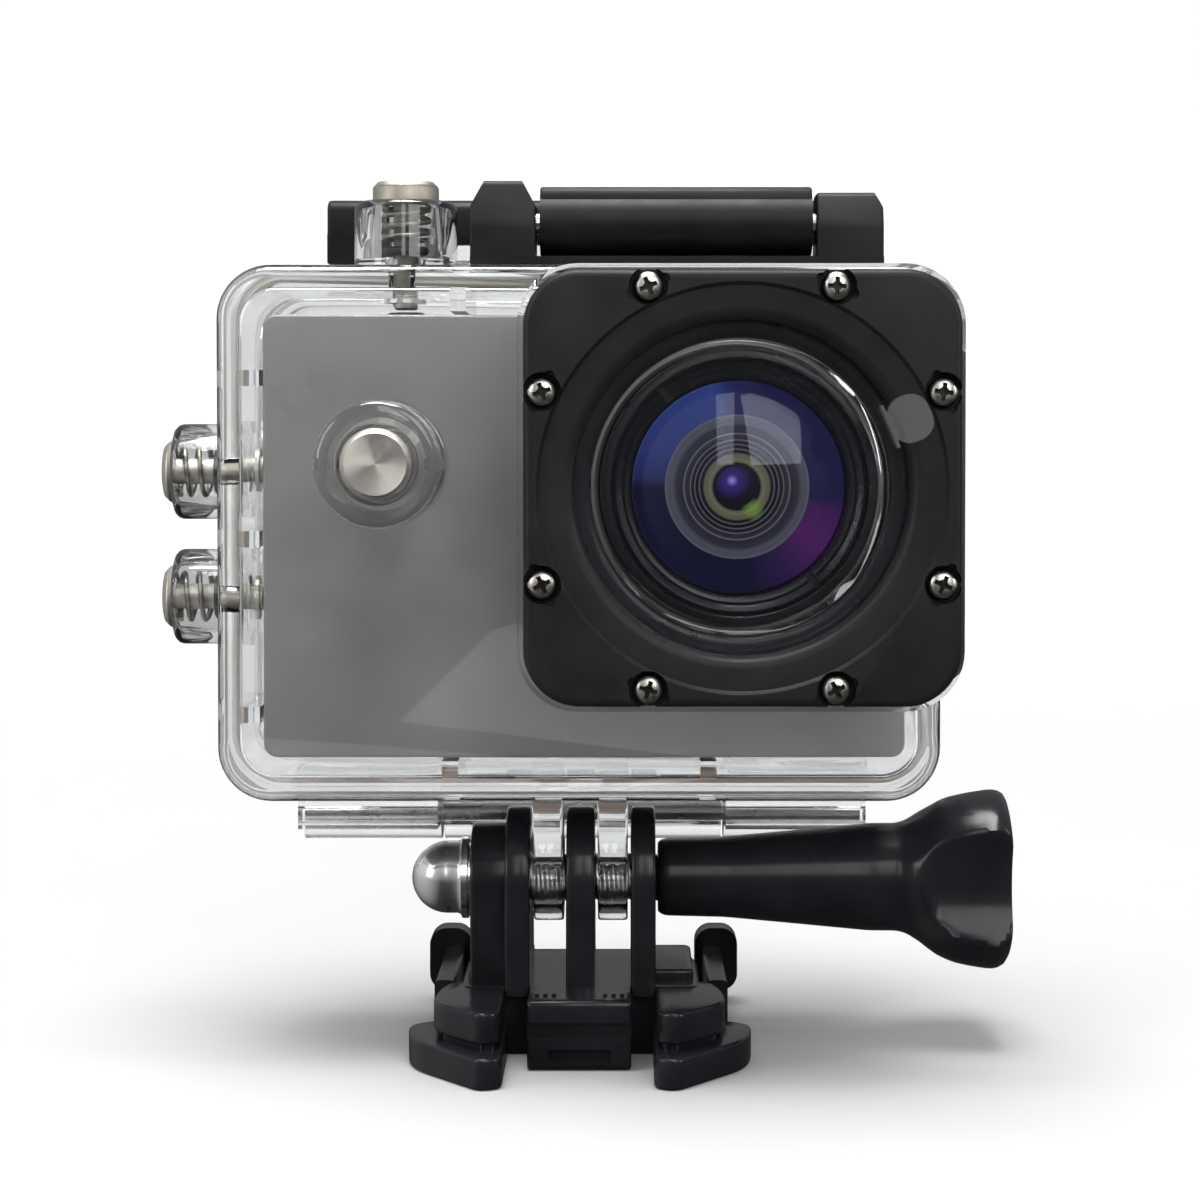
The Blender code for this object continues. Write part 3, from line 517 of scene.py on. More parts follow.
def lens_rings(name):
    """The surfaces inside the lens, coloured by ring, with painted coating reflections that change
    with the angle round the axis, a painted green glint and a weak painted glow.
    """
    paint = Paint(name, Metallic=0.25, Coat_Weight=0.6, Coat_Roughness=0.02, Specular_IOR_Level=0.6)
    distance, flat = paint.off_axis("Y", (PORT[0], 0.0, PORT[1]))
    radius = paint.remap(distance, 0.0, 1.0, 0.0, 0.0096)
    seen = paint.split(flat)
    turned_flat = paint.node("CombineXYZ", seen["X"], seen["Z"])
    # painted reflection: the coating's navy, blue and violet follow the angle round the lens axis
    reflection_angle = paint.node("TexGradient", turned_flat.outputs[0], gradient_type="RADIAL")
    navy, deep = (0.024, 0.020, 0.100), (0.011, 0.010, 0.048)
    blue, violet = (0.055, 0.100, 0.380), (0.135, 0.026, 0.190)
    sweep = paint.ramp(
        reflection_angle.outputs["Fac"],
        (
            (0.00, deep), (0.27, deep), (0.34, (0.05, 0.02, 0.11)), (0.40, violet),
            (0.46, (0.09, 0.024, 0.16)), (0.48, navy), (0.70, navy),
            (0.765, (0.028, 0.040, 0.18)), (0.79, blue), (0.93, (0.045, 0.075, 0.30)),
            (0.985, (0.03, 0.04, 0.17)), (1.00, deep),
        ),
    )
    grey, black = (0.115, 0.115, 0.150), (0.008, 0.008, 0.012)
    bands = paint.ramp(
        radius,
        (
            (0.000, black), (0.225, black), (0.245, (0.25, 0.24, 0.15)),
            (0.315, (0.20, 0.20, 0.13)), (0.330, black), (0.350, black),
            (0.362, (0.22, 0.23, 0.25)), (0.372, black), (0.395, black),
            (0.405, (0.20, 0.20, 0.23)), (0.415, black), (0.440, (0.03, 0.03, 0.04)),
            (0.450, (0.24, 0.24, 0.27)), (0.460, (0.03, 0.03, 0.04)), (0.500, (0.05, 0.05, 0.065)),
            (0.510, (0.28, 0.28, 0.31)), (0.522, (0.04, 0.04, 0.05)), (0.590, (0.05, 0.05, 0.07)),
            (0.605, grey), (0.675, (0.145, 0.145, 0.19)), (0.690, (0.22, 0.22, 0.27)),
            (0.700, deep),
        ),
    )
    tone = paint.mix(paint.remap(radius, 0.0, 1.0, 0.690, 0.705), bands, sweep)
    # painted glint: a green spot off the lens axis
    spot = paint.off_axis("Y", (PORT[0] + 1.5, 0.0, PORT[1] - 2.1))[0]
    glint = paint.remap(spot, 0.85, 0.0, 0.0003, 0.0011)
    # painted light: the rings give off weak light in their own colours
    paint.glow(paint.mix(glint, tone, (0.30, 0.48, 0.10, 1.0)), 0.5)
    return paint.roughness(paint.noise(0.5, 4.0), 0.12, 0.20).material


def screw_steel(name):
    """Nickelled steel, darkened by painted shade down in the cross recess and the bore."""
    paint = Paint(name, Metallic=1.0)
    # painted shade: near black behind the head's face, in the cross recess and the bore
    depth = paint.remap(paint.split(paint.coord)["Y"], 0.0, 1.0, -0.02345, -0.0232)
    tones = ((0.3, (0.50, 0.48, 0.43)), (0.7, (0.70, 0.68, 0.62)))
    steel = paint.ramp(paint.noise(0.8, 5.0), tones)
    paint.set(Base_Color=paint.mix(depth, steel, (0.045, 0.042, 0.038, 1.0)))
    return paint.roughness(paint.noise(0.5, 5.0), 0.24, 0.42).material


def pupil_glass(name):
    """Dark rear element with a painted violet highlight off its centre, which also glows weakly as
    painted light.
    """
    paint = Paint(name, Specular_IOR_Level=0.8, Coat_Weight=1.0, Coat_Roughness=0.02)
    # painted highlight: pale lavender at a spot off the centre, fading to near black
    spot = paint.off_axis("Y", (PORT[0] - 0.45, 0.0, PORT[1] + 0.55))[0]
    tones = (
        (0.0, (0.55, 0.52, 0.95)), (0.12, (0.30, 0.24, 0.80)), (0.3, (0.06, 0.03, 0.26)),
        (1.0, (0.008, 0.006, 0.02)),
    )
    paint.glow(paint.ramp(paint.remap(spot, 0.0, 1.0, 0.0, 0.0018), tones), 0.6)
    return paint.roughness(paint.noise(1.5), 0.03, 0.08).material


def face_metal(name):
    """Satin metallic lacquer: soft cloudy tone and a fine flake."""
    paint = Paint(name, Metallic=0.45)
    paint.colour(paint.noise(18.0, 2.0), (0.188, 0.186, 0.183), (0.242, 0.239, 0.236))
    paint.roughness(paint.noise(4.0, 6.0), 0.40, 0.54)
    return paint.bump(paint.noise(0.12, 5.0), 0.18, 0.006).material


def make_materials():
    mode = ("Y", (MODE_AT[0], 0.0, MODE_AT[1]))
    shutter = ("Z", (SHUTTER_AT[0], SHUTTER_AT[1], 0.0))
    up, down = ("X", (0.0, UP_AT[0], UP_AT[1])), ("X", (0.0, DOWN_AT[0], DOWN_AT[1]))
    # painted shade: the side caps and the top cap are darker copies of the front cap's spun steel
    # tone
    shaded_side_cap_tone = (0.42, 0.40, 0.35)
    return {
        # the case's tint is darkened inside the four button bosses, as painted shade
        "case": clear(
            "clear_polycarbonate", (0.845, 0.85, 0.855), (0.008, 0.035), 1.56, 0.9,
            ((*mode, 5.8), (*shutter, 5.0), (*up, 4.6), (*down, 4.6)),
        ),
        "window": sheet("clear_window", (0.95, 0.96, 1.0), (0.97, 0.98, 0.985), gain=0.4),
        "film": sheet(
            "protective_film", (0.50, 0.51, 0.52), (0.985, 0.985, 0.985), 1.15, (0.18, 0.3), 0.2,
            0.07,
        ),
        "buckle": shade(
            "glossy_black_acetal", (0.007, 0.0075, 0.009), (0.012, 0.013, 0.015), (0.17, 0.22),
            0.35, 0.06, 0.005, 5.0, Specular_IOR_Level=0.26,
        ),
        "latch": shade(
            "satin_black_latch", (0.007, 0.0073, 0.008), (0.012, 0.0125, 0.014), (0.38, 0.48), 0.18,
            0.3, 0.010, Specular_IOR_Level=0.15,
        ),
        "bezel": shade(
            "grained_black_bezel", (0.006, 0.0062, 0.0068), (0.011, 0.0113, 0.0125), (0.40, 0.52),
            0.16, 0.5, 0.012, Specular_IOR_Level=0.20,
        ),
        "barrel": shade(
            "dark_lens_housing", (0.006, 0.006, 0.008), (0.012, 0.012, 0.016), (0.26, 0.34), 0.6,
            0.0, Specular_IOR_Level=0.4,
        ),
        "camera": shade(
            "camera_shell_plastic", (0.030, 0.031, 0.033), (0.046, 0.048, 0.052), (0.36, 0.5), 0.2,
            0.3, 0.012,
        ),
        "key": shade("key_plastic", (0.02, 0.02, 0.022), (0.03, 0.03, 0.034), (0.35, 0.5), 0.2),
        "rubber": shade(
            "seal_rubber", (0.010, 0.010, 0.010), (0.022, 0.022, 0.022), (0.45, 0.65), 0.25,
        ),
        "silicone": shade(
            "pale_silicone", (0.62, 0.62, 0.60), (0.70, 0.70, 0.68), (0.45, 0.6), 0.5,
            Subsurface_Weight=0.2,
        ),
        "steel": shade(
            "bright_steel", (0.64, 0.62, 0.57), (0.78, 0.76, 0.71), (0.22, 0.36), 0.3, 0.15, 0.006,
            Metallic=1.0,
        ),
        "spring": shade(
            "spring_wire", (0.26, 0.24, 0.19), (0.40, 0.37, 0.30), (0.22, 0.36), 0.3, 0.15, 0.006,
            Metallic=1.0,
        ),
        "chrome": shade(
            "polished_nut", (0.80, 0.81, 0.82), (0.90, 0.91, 0.92), (0.14, 0.22), 0.8, 0.08, 0.004,
            Metallic=1.0,
        ),
        "board": shade("circuit_board", (0.01, 0.10, 0.05), (0.02, 0.16, 0.07), (0.3, 0.5), 0.6),
        "battery": shade("battery_wrap", (0.05, 0.055, 0.06), (0.08, 0.085, 0.09), (0.3, 0.5), 0.5),
        "screen": shade(
            "screen_glass", (0.004, 0.004, 0.006), (0.010, 0.010, 0.013), (0.04, 0.09), 2.0, 0.03,
            0.01, Coat_Weight=1.0,
        ),
        "rings": lens_rings("lens_rings_painted_reflection"),
        "front_glass": sheet(
            "coated_front_lens", (0.80, 0.78, 1.0), (0.96, 0.96, 0.99), 1.5, (0.0, 0.012),
        ),
        "pupil": pupil_glass("rear_lens_painted_highlight"),
        "screw": screw_steel("worn_screw_steel_recess_shade"),
        "face": face_metal("satin_grey_face"),
        "cap_front": spun_metal("spun_cap_front", *mode),
        # painted shade: the top cap's steel is darkened because the key light falls on it from
        # above
        "cap_top": spun_metal("spun_cap_top", *shutter, (0.25, 0.235, 0.20)),
        "cap_up": spun_metal("spun_cap_up", *up, shaded_side_cap_tone),
        "cap_down": spun_metal("spun_cap_down", *down, shaded_side_cap_tone),
    }


# ---------------- clear case


def finger(x):
    points = [(-9.5, 26.0), (-9.0, 24.6), (-FINGER_R, 18.6), (-FINGER_R, PIVOT_Z)]
    points += arc((0.0, PIVOT_Z), FINGER_R, 180, 360, 24)[1:]
    points += [(FINGER_R, 21.0), (5.0, 26.0)]
    return outline("X", points, x, soft=0.25)


def hinge_lug(x):
    obj = rod("+X", DOOR_PIN, 2.7, x, 36)
    return join(
        obj,
        rbox(x, (4.2, 11.0), (20.0, 24.05)),
        rbox((x[0] + 0.01, x[1] - 0.01), (4.4, 7.4), (21.0, 25.8)),
    )


def boss(axis, at, r, low, high):
    """Button boss with a rounded rim, which bends light into a bright ring."""
    profile = [
        (0.0, low), (r, low), (r, high - 0.8), (r - 0.12, high - 0.4), (r - 0.4, high - 0.12),
        (r - 0.8, high), (0.0, high),
    ]
    return turned(axis, at, profile, steps=64)


def bore(axis, at, r, floor, mouth, flare):
    wide = r + flare
    profile = [
        (0.0, floor), (r, floor), (r, mouth - 0.9), (r + 0.15, mouth - 0.5), (wide, mouth + 0.1),
        (wide, mouth + 0.8), (0.0, mouth + 0.8),
    ]
    return turned(axis, at, profile, steps=64)


def bore_tools():
    tools = [bore(axis, at, *well) for axis, at, _, well, _ in BOSSES]
    tools.append(rod("-Y", MODE_AT, 2.7, (11.0, 13.4), 40))
    tools += [rod(axis, at, STEM_HOLE_R, span, 32) for axis, at, _, _, span in BOSSES]
    x, z = MODE_AT
    for side in (-1, 1):
        low, high = sorted((x + side * 4.6, x + side * 6.4))
        tools.append(rbox((low, high), (-20.6, -18.2), (z - 0.55, z + 0.55)))
    return tools


def rib_tools():
    deep = (-12.0, 6.0)
    return [
        *[rbox((-32.4, -29.6), deep, (z - RIB, z + RIB)) for z in (64.3, 49.4, 33.1)],
        *[rbox((30.6, 32.4), (-10.5, 6.0), (z - RIB, z + RIB)) for z in (36.0, 49.4, 62.8)],
        *[rbox((x - RIB, x + RIB), deep, (70.5, 73.6)) for x in (-11.2, 8.0, 24.0)],
        *[rbox((x - RIB, x + RIB), deep, (26.3, 28.8)) for x in (-12.0, 12.0)],
    ]


def screw_places():
    return [(middle("bezel_screw_%d" % i, 0), middle("bezel_screw_%d" % i, 2)) for i in range(1, 9)]


def make_shell(paint):
    shell = rbox((-CASE_X, CASE_X), CASE_Y, CASE_Z, 5.0, 1, 12, 1.2, (-1,), 5)
    port_x, port_z = ((c - PORT_HALF, c + PORT_HALF) for c in PORT)
    join(
        shell,
        rbox((-FLANGE_X, FLANGE_X), (FLANGE_Y, 7.69), FLANGE_Z, 5.6, 1, 12, 0.35, (-1,), 3),
        rbox(port_x, (-PORT_FRONT, -12.4), port_z, 5.4, 1, 12),
        hinge_lug((-HINGE_X[2], -HINGE_X[1])),
        hinge_lug((HINGE_X[1], HINGE_X[2])),
        finger(FINGER_X),
        finger((-FINGER_X[1], -FINGER_X[0])),
        *[boss(axis, at, *sizes) for axis, at, sizes, _, _ in BOSSES],
    )
    cut(shell, rbox((-CAVITY_X, CAVITY_X), (-11.3, 9.0), CAVITY_Z, 3.4, 1, 10, 0.5, (-1,), 3))
    join(shell, *rib_tools())
    cut(
        shell,
        rod("-Y", PORT, 17.3, (17.9, 21.5), 96),
        rod("-Y", PORT, 13.4, (10.5, 18.5), 96),
        rod("+X", DOOR_PIN, DOOR_HOLE_R, ACROSS, 28),
        rod("+X", (0.0, PIVOT_Z), PIVOT_HOLE_R, (-20, 20), 48),
        *bore_tools(),
        *[rod("-Y", spot, 0.9, (15.5, 21.4), 20) for spot in screw_places()],
    )
    place(smooth(shell, 32), "case_front", "housing", paint["case"], "front_shell")


def make_door(paint):
    door = rbox((-FLANGE_X, FLANGE_X), (8.0, 11.0), FLANGE_Z, 5.6, 1, 12, 0.35, (1,), 3)
    ridge = [(8.4, 75.0), (8.4, 78.3), (9.1, 78.14), (13.4, 76.42), (13.4, 75.4), (10.4, 73.6)]
    join(
        door,
        rbox((-33.0, 33.0), (8.5, 13.5), (26.2, 74.2), 5.0, 1, 12, 1.0, (1,), 5),
        rod("+X", DOOR_PIN, 2.7, (-HINGE_X[0], HINGE_X[0]), 36),
        rbox((-HINGE_X[0], HINGE_X[0]), (9.2, 13.2), (20.8, 26.6)),
        outline("X", ridge, (-20.5, 23.5), 0.3, 3, 0.2),
    )
    groove = rbox((-33.9, 33.9), (7.5, 9.9), (25.3, 75.1), 4.9, 1, 10)
    cut(groove, rbox((-31.9, 31.9), (7.0, 10.5), (27.3, 73.1), 3.6, 1, 10))
    cut(
        door,
        groove,
        rbox((-31.0, 31.0), (7.0, 11.7), (28.2, 72.2), 3.0, 1, 8, 0.6, (1,), 3),
        rod("+X", DOOR_PIN, DOOR_HOLE_R, (-30, 30), 28),
    )
    place(smooth(door, 32), "case_door", "door", paint["case"], "back_door")


def rounded_rect(x, z, r):
    """Points round a rectangle with rounded corners, from the lower right."""
    left, right, low, high = x[0] + r, x[1] - r, z[0] + r, z[1] - r
    out = []
    for quarter, corner in enumerate(((right, low), (right, high), (left, high), (left, low))):
        start = 90 * quarter - 90
        out += arc(corner, r, start, start + 90, 10)
    return out


def make_gasket(paint):
    """A lipped silicone ring in the door's groove."""
    half = [(-0.68, 9.6), (-0.68, 8.5), (-0.45, 8.3), (-0.42, 8.05), (-0.2, 8.05), (-0.15, 8.4)]
    section = half + [(-a, b) for a, b in half[::-1]]
    rings = []
    for grow, y in section:
        r = 3.95 + grow
        path = rounded_rect((-32.9 - grow, 32.9 + grow), (26.3 - grow, 74.1 + grow), r)
        rings.append([(a, y, b) for a, b in path])
    gasket = loft(rings + [rings[0]], caps=False)
    bm = bmesh.new()
    bm.from_mesh(gasket.data)
    bmesh.ops.remove_doubles(bm, verts=bm.verts, dist=1e-7)
    bmesh.ops.recalc_face_normals(bm, faces=bm.faces)
    bm.to_mesh(gasket.data)
    bm.free()
    place(smooth(gasket, 40), "door_seal", "door", paint["silicone"], "door_gasket")


# ---------------- lens port


def make_bezel(paint):
    low, high = BEZEL
    bezel = rbox(*zip(low, high), 5.0, 1, 14, 0.7, (-1,), 5)
    u0, u1 = -high[1], -low[1]  # the bezel's back and front, forward of the origin
    profile = [
        (0.0, u1 + 1.0), (18.6, u1 + 1.0), (18.2, u1 - 0.02), (17.9, u1 - 0.38), (16.0, u1 - 0.44),
        (15.5, u1 - 0.5), (15.15, u1 - 0.75), (14.95, u1 - 1.2), (14.9, u0 - 1.0), (0.0, u0 - 1.0),
    ]
    cutters = [turned("-Y", PORT, profile, steps=128)]
    pocket = [(0.0, 25.2), (2.0, 25.2), (1.72, 23.9), (1.66, 22.5), (0.0, 22.5)]
    for x, z in screw_places():
        cutters.append(turned("-Y", (x, z), pocket, steps=32))
        cutters.append(rod("-Y", (x, z), 0.95, (u0 - 0.5, 22.8), 20))
        away = Vector((x - PORT[0], z - PORT[1])).normalized()
        turn = Vector((-away.y, away.x))
        for side in (-1, 1):
            spot = (x + turn.x * side * 1.55, z + turn.y * side * 1.55)
            cutters.append(rod("-Y", spot, 0.5, (23.1, 25.0), 16))
    cut(bezel, *cutters)
    place(smooth(bezel, 35), "port_bezel", "housing", paint["bezel"], "lens_bezel")


def turn_about(obj, spot, angle):
    """Turn a shape made at the origin about Y, and move it to a spot of the front."""
    x, z = spot
    obj.data.transform(
        Matrix.Translation(Vector((x, 0.0, z)) * MM) @ Matrix.Rotation(angle, 4, "Y")
    )
    return obj


def make_screws(paint):
    """Pan-head screws with a cross recess, each turned to its own angle."""
    profile = [
        (0.0, 23.72), (0.55, 23.69), (0.95, 23.58), (1.22, 23.38), (1.34, 23.12), (1.35, 22.9),
        (1.28, 22.8), (0.7, 22.8), (0.7, 16.6), (0.4, 16.2), (0.0, 16.2),
    ]
    for number, spot in enumerate(screw_places(), 1):
        screw = turned("-Y", spot, profile, steps=40)
        angle = math.radians(17 * number * number % 90)
        blades = []
        for extra in (0.0, 90.0):
            blade = rbox((-0.82, 0.82), (-24.4, -23.0), (-0.2, 0.2))
            blades.append(turn_about(blade, spot, angle + math.radians(extra)))
        cone = turned("-Y", spot, [(0.0, 24.2), (0.6, 24.2), (0.42, 23.6), (0.0, 22.95)], steps=24)
        cut(screw, *blades, cone)
        name = "port_screw_%d" % number
        place(smooth(screw, 30), name, "housing", paint["screw"], "bezel_screw_%d" % number)


def make_barrel(paint):
    profile = [
        (11.75, 18.5), (12.2, 18.5), (12.45, 18.4), (12.6, 18.1), (12.6, 8.6), (10.6, 8.6),
        (10.6, 0.6), (4.6, 0.6), (4.6, 5.2), (6.1, 5.2), (6.1, 11.4), (10.0, 11.5), (10.0, 16.6),
        (11.62, 16.6), (11.62, 18.35),
    ]
    barrel = turned("-Y", PORT, profile, closed=True, steps=128)
    place(smooth(barrel, 30), "lens_tube", "housing", paint["barrel"], "lens_barrel")
    ring = [
        (11.4, 17.9), (11.4, 16.9), (9.9, 16.9), (9.9, 17.5), (10.1, 17.75), (10.4, 17.85),
        (10.6, 17.7), (10.8, 17.9), (11.2, 18.1),
    ]
    retainer = turned("-Y", PORT, ring, closed=True, steps=128)
    for side in (-1, 1):
        middle_x = side * 10.9
        notch = rbox((middle_x - 0.9, middle_x + 0.9), (-19.0, -17.5), (-0.35, 0.35))
        cut(retainer, turn_about(notch, PORT, 0.9))
    place(smooth(retainer, 30), "lens_retainer", "housing", paint["barrel"], "lens_retaining_ring")


def dome(radius, top, drop, count):
    """Profile of a shallow lens face, from its middle to its rim."""
    spread = [radius * i / count for i in range(count + 1)]
    return [(r, top - drop * (r / radius) ** 2) for r in spread]


def make_lenses(paint):
    outer = dome(9.6, 18.2, 2.1, 16)
    inner = dome(8.6, 16.5, 2.0, 12)[::-1]
    profile = outer + [(9.6, 14.9), (8.9, 14.5)] + inner
    front = turned("-Y", PORT, profile, steps=96)
    place(smooth(front, 30), "front_element", "housing", paint["front_glass"], "front_lens")
    steps = [
        (9.7, 12.0), (5.4, 11.7), (1.9, 11.7), (1.9, 12.0), (2.5, 12.15), (2.6, 12.5), (3.2, 12.55),
        (3.3, 12.2), (3.9, 12.3), (4.0, 12.7), (4.5, 12.75), (4.6, 12.45), (5.5, 12.6), (5.6, 13.0),
        (6.0, 13.05), (6.1, 12.75), (6.7, 12.85), (7.6, 13.3), (8.6, 13.95), (9.3, 14.6),
        (9.7, 14.6),
    ]
    rings = turned("-Y", PORT, steps, closed=True, steps=96)
    place(smooth(rings, 28), "lens_inner_rings", "housing", paint["rings"], "middle_lens")
    body = [(1.85, 11.6), (3.8, 11.5), (3.8, 9.5), (0.0, 9.5)]
    rear = turned("-Y", PORT, dome(1.85, 12.55, 0.5, 8) + body, steps=64)
    place(smooth(rear, 30), "rear_element", "housing", paint["pupil"], "rear_lens")


def make_port_seal(paint):
    """Black seal under the window, with a rounded inner lip."""
    low, high = mm_box("window_gasket")
    front, back = -low[1], -high[1]
    section = [
        (16.9, back + 0.02), (16.9, front), (14.2, front), (13.75, front - 0.06),
        (13.5, front - 0.22), (13.45, back + 0.02),
    ]
    seal = turned("-Y", PORT, section, closed=True, steps=128)
    place(smooth(seal, 50), "window_seal", "housing", paint["barrel"], "window_gasket")


def make_film(paint):
    """Thin film on the window with a tab that folds over the bezel."""
    film = rod("-Y", PORT, 14.45, (21.02, 21.2), 96)
    riser = rbox((13.95, 14.15), (-24.5, -21.1), (-2.0, 2.0))
    tongue = rbox((13.95, 17.8), (-24.55, -24.35), (-2.1, 2.1), 1.7, 1, 8)
    join(film, *[turn_about(tool, PORT, math.radians(-22.8)) for tool in (riser, tongue)])
    place(smooth(film, 30), "port_film", "housing", paint["film"], "window_film")


# ---------------- latch


def make_latch(paint):
    low, high = BRACKET
    bracket = rbox((low[0], high[0]), (-10.2, -3.7), (75.1, 75.75))
    left, right = (low[0] + 0.01, -4.1), (22.2, high[0] - 0.01)
    for x, top, corner, edges in (
        (left, high[2], 1.6, ((left[0], 1), (left[1], -1))),
        (right, 81.8, 1.0, ((right[1], -1),)),
    ):
        points = [
            (-10.2, 75.2), (-10.2, 78.8), (-8.9, top), (-5.0, top), (-3.7, 79.5), (-3.7, 75.2),
        ]
        knuckle = outline("X", points, x, 0.5, 4, 0.25)
        for edge, way in edges:
            cut(knuckle, corner_wedge(edge, way, top, corner))
        join(bracket, knuckle)
    cut(bracket, rod("+X", LATCH_PIN, LATCH_HOLE_R, (-20, 40), 36))
    place(smooth(bracket, 30), "latch_base", "housing", paint["latch"], "latch_bracket")


def corner_wedge(edge, way, top, corner):
    """A wedge that chamfers a knuckle's top corner, seen from the front."""
    inner, outer = edge + way * corner * 0.8, edge - way * 1.0
    points = [
        (outer, top - corner * 1.9), (edge, top - corner * 1.5), (inner, top), (inner, top + 1.0),
        (outer, top + 1.0),
    ]
    return outline("Y", points, (-12.0, -2.0))


def make_flap(paint):
    low, high = LATCH
    x = (-3.7, 21.8)
    flap = rod("+X", LATCH_PIN, 3.0, x, 48)
    plate = [(-7.0, 79.4), (-9.2, 80.0), (-9.1, 81.6), (-8.6, 82.35), (9.6, 82.3), (9.6, 79.9)]
    plate = rounded_profile(plate, 0.4, 3, closed=True)
    bar = [(9.0, 78.6), (15.0, 76.2), (15.0, 81.8), (13.6, 82.9), (9.8, 82.9), (9.0, 82.2)]
    bar = rounded_profile(bar, 0.6, 3, closed=True)
    join(
        flap,
        outline("X", plate, (x[0] + 0.01, x[1] - 0.01), soft=0.25),
        outline("X", bar, (low[0], high[0]), soft=0.4),
        rbox((low[0] + 0.01, -21.0), (9.01, 14.99), (76.5, 79.4)),
        rbox((24.2, high[0] - 0.01), (9.01, 14.99), (76.5, 79.4)),
    )
    grip_x = (low[0] + 6.0, high[0] - 6.0)
    grips = [rbox(grip_x, (14.75, 16.0), (z, z + 0.5)) for z in (78.2, 79.4, 80.6)]
    cut(flap, rod("+X", LATCH_PIN, LATCH_HOLE_R, (-20, 40), 36), *grips)
    place(smooth(flap, 30), "latch_lever", "latch", paint["latch"], "latch_flap")


# ---------------- push buttons


def coil(axis, at, r, wire, span, turns):
    """A compression spring whose first coil part lies flat on its seat."""
    sides, per_turn, flat = 14, 40, 0.6
    low, high = span[0] + wire / 2, span[1] - wire / 2
    count = int(turns * per_turn)
    matrix = at_axis(axis, at)
    rings = []
    for i in range(count + 1):
        t = i / count
        ease = min(max((t - flat / turns * 0.5) / (1 - flat / turns), 0.0), 1.0)
        h = low + (high - low) * ease
        a = math.tau * turns * t
        ring = []
        for k in range(sides):
            b = math.tau * k / sides
            radial = r + wire / 2 * math.cos(b)
            point = (radial * math.cos(a), radial * math.sin(a), h + wire / 2 * math.sin(b))
            ring.append(tuple((matrix @ (Vector(point) * MM)) / MM))
        rings.append(ring)
    obj = loft(rings)
    return smooth(obj, 50)


def o_ring(axis, at, height):
    turns = [-math.tau * i / 20 for i in range(20)]
    profile = [(1.82 + 0.4 * math.cos(a), height + 0.4 * math.sin(a)) for a in turns]
    return smooth(turned(axis, at, profile, closed=True, steps=56), 80)


def make_button(metal, paint, name, axis, at, face, head, cap_r, stem_end, seal, spring, turns):
    """Plunger, spring and seal, placed by their distances along the button's axis."""
    profile = [
        (0.0, face - 0.02), (cap_r - 0.85, face - 0.02), (cap_r - 0.62, face), (cap_r - 0.5, face),
        (cap_r - 0.08, face - 0.42), (cap_r, face - 0.6), (cap_r, head + 0.1), (cap_r - 0.1, head),
        (1.2, head), (1.2, stem_end + 0.2), (1.0, stem_end), (0.0, stem_end),
    ]
    plunger = smooth(turned(axis, at, profile, steps=72), 28)
    place(plunger, name + "_cap", name + "_button", metal, name + "_plunger")
    wire = coil(axis, at, 2.25, 0.45, spring, turns)
    place(wire, name + "_coil", "housing", paint["spring"], name + "_spring")
    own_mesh(wire)
    place(o_ring(axis, at, seal), name + "_seal", "housing", paint["rubber"], name + "_o_ring")


def make_buttons(paint):
    side = (40.2, 38.6, 3.0, 30.2, 34.8, (35.5, 38.3), 2.5)
    for name, axis, at, sizes, cap in (
        ("mode", "-Y", MODE_AT, (21.3, 19.2, 3.3, 11.9, 15.7, (16.4, 18.9), 2.5), "cap_front"),
        ("shutter", "+Z", SHUTTER_AT, (83.5, 81.0, 3.2, 71.1, 76.7, (77.4, 80.7), 3.5), "cap_top"),
        ("up", "-X", UP_AT, side, "cap_up"),
        ("down", "-X", DOWN_AT, side, "cap_down"),
    ):
        make_button(paint[cap], paint, name, axis, at, *sizes)


# ---------------- camera


def make_face(paint):
    plate = rbox(*zip(*PLATE), 1.3, 1, 8, 0.3, (-1,), 4)
    hole = [(0.0, 12.0), (14.0, 12.0), (13.2, 11.0), (12.9, 10.75), (12.9, 8.0), (0.0, 8.0)]
    cut(plate, turned("-Y", PORT, hole, steps=96), rod("-Y", MODE_AT, 2.25, (8.0, 13.0), 40))
    place(smooth(plate, 32), "camera_front", "housing", paint["face"], "camera_face_plate")


# ---------------- buckle


def foot(side):
    """A front corner foot: a pad, a groove above it, and a lug."""
    plan = [(6.9, -4.0), (6.9, -19.6), (9.0, -20.4), (15.8, -12.0), (16.4, -5.9), (13.0, -4.0)]
    upper = [(7.2, -4.0), (7.2, -16.6), (9.0, -17.6), (13.8, -12.4), (13.4, -6.5), (12.4, -3.0)]
    neck = [(7.6, -4.0), (7.6, -16.0), (8.8, -16.4), (12.8, -12.0), (12.6, -6.5), (11.8, -3.2)]
    layers = ((plan, (0.0, 2.9), 2.8), (neck, (2.5, 3.9), 1.2), (upper, (3.5, 6.4), 2.6))
    pieces = []
    for points, span, r in layers:
        flat = [(side * x, y) for x, y in points]
        if side < 0:
            flat.reverse()
        rounded = rounded_profile(flat, r, 6, closed=True)
        pieces.append(outline("Z", rounded, span, soft=0.3))
    return pieces


def upright(half, r, steps, x, ends=(0, 1)):
    """A prong or boss that stands on the deck, with its top round about the pivot."""
    points = [(-half, 5.8), (-r, PIVOT_Z)] + arc((0.0, PIVOT_Z), r, 180, 0, steps)[1:]
    return outline("X", points + [(half, 5.8)], x, soft=0.35, ends=ends)


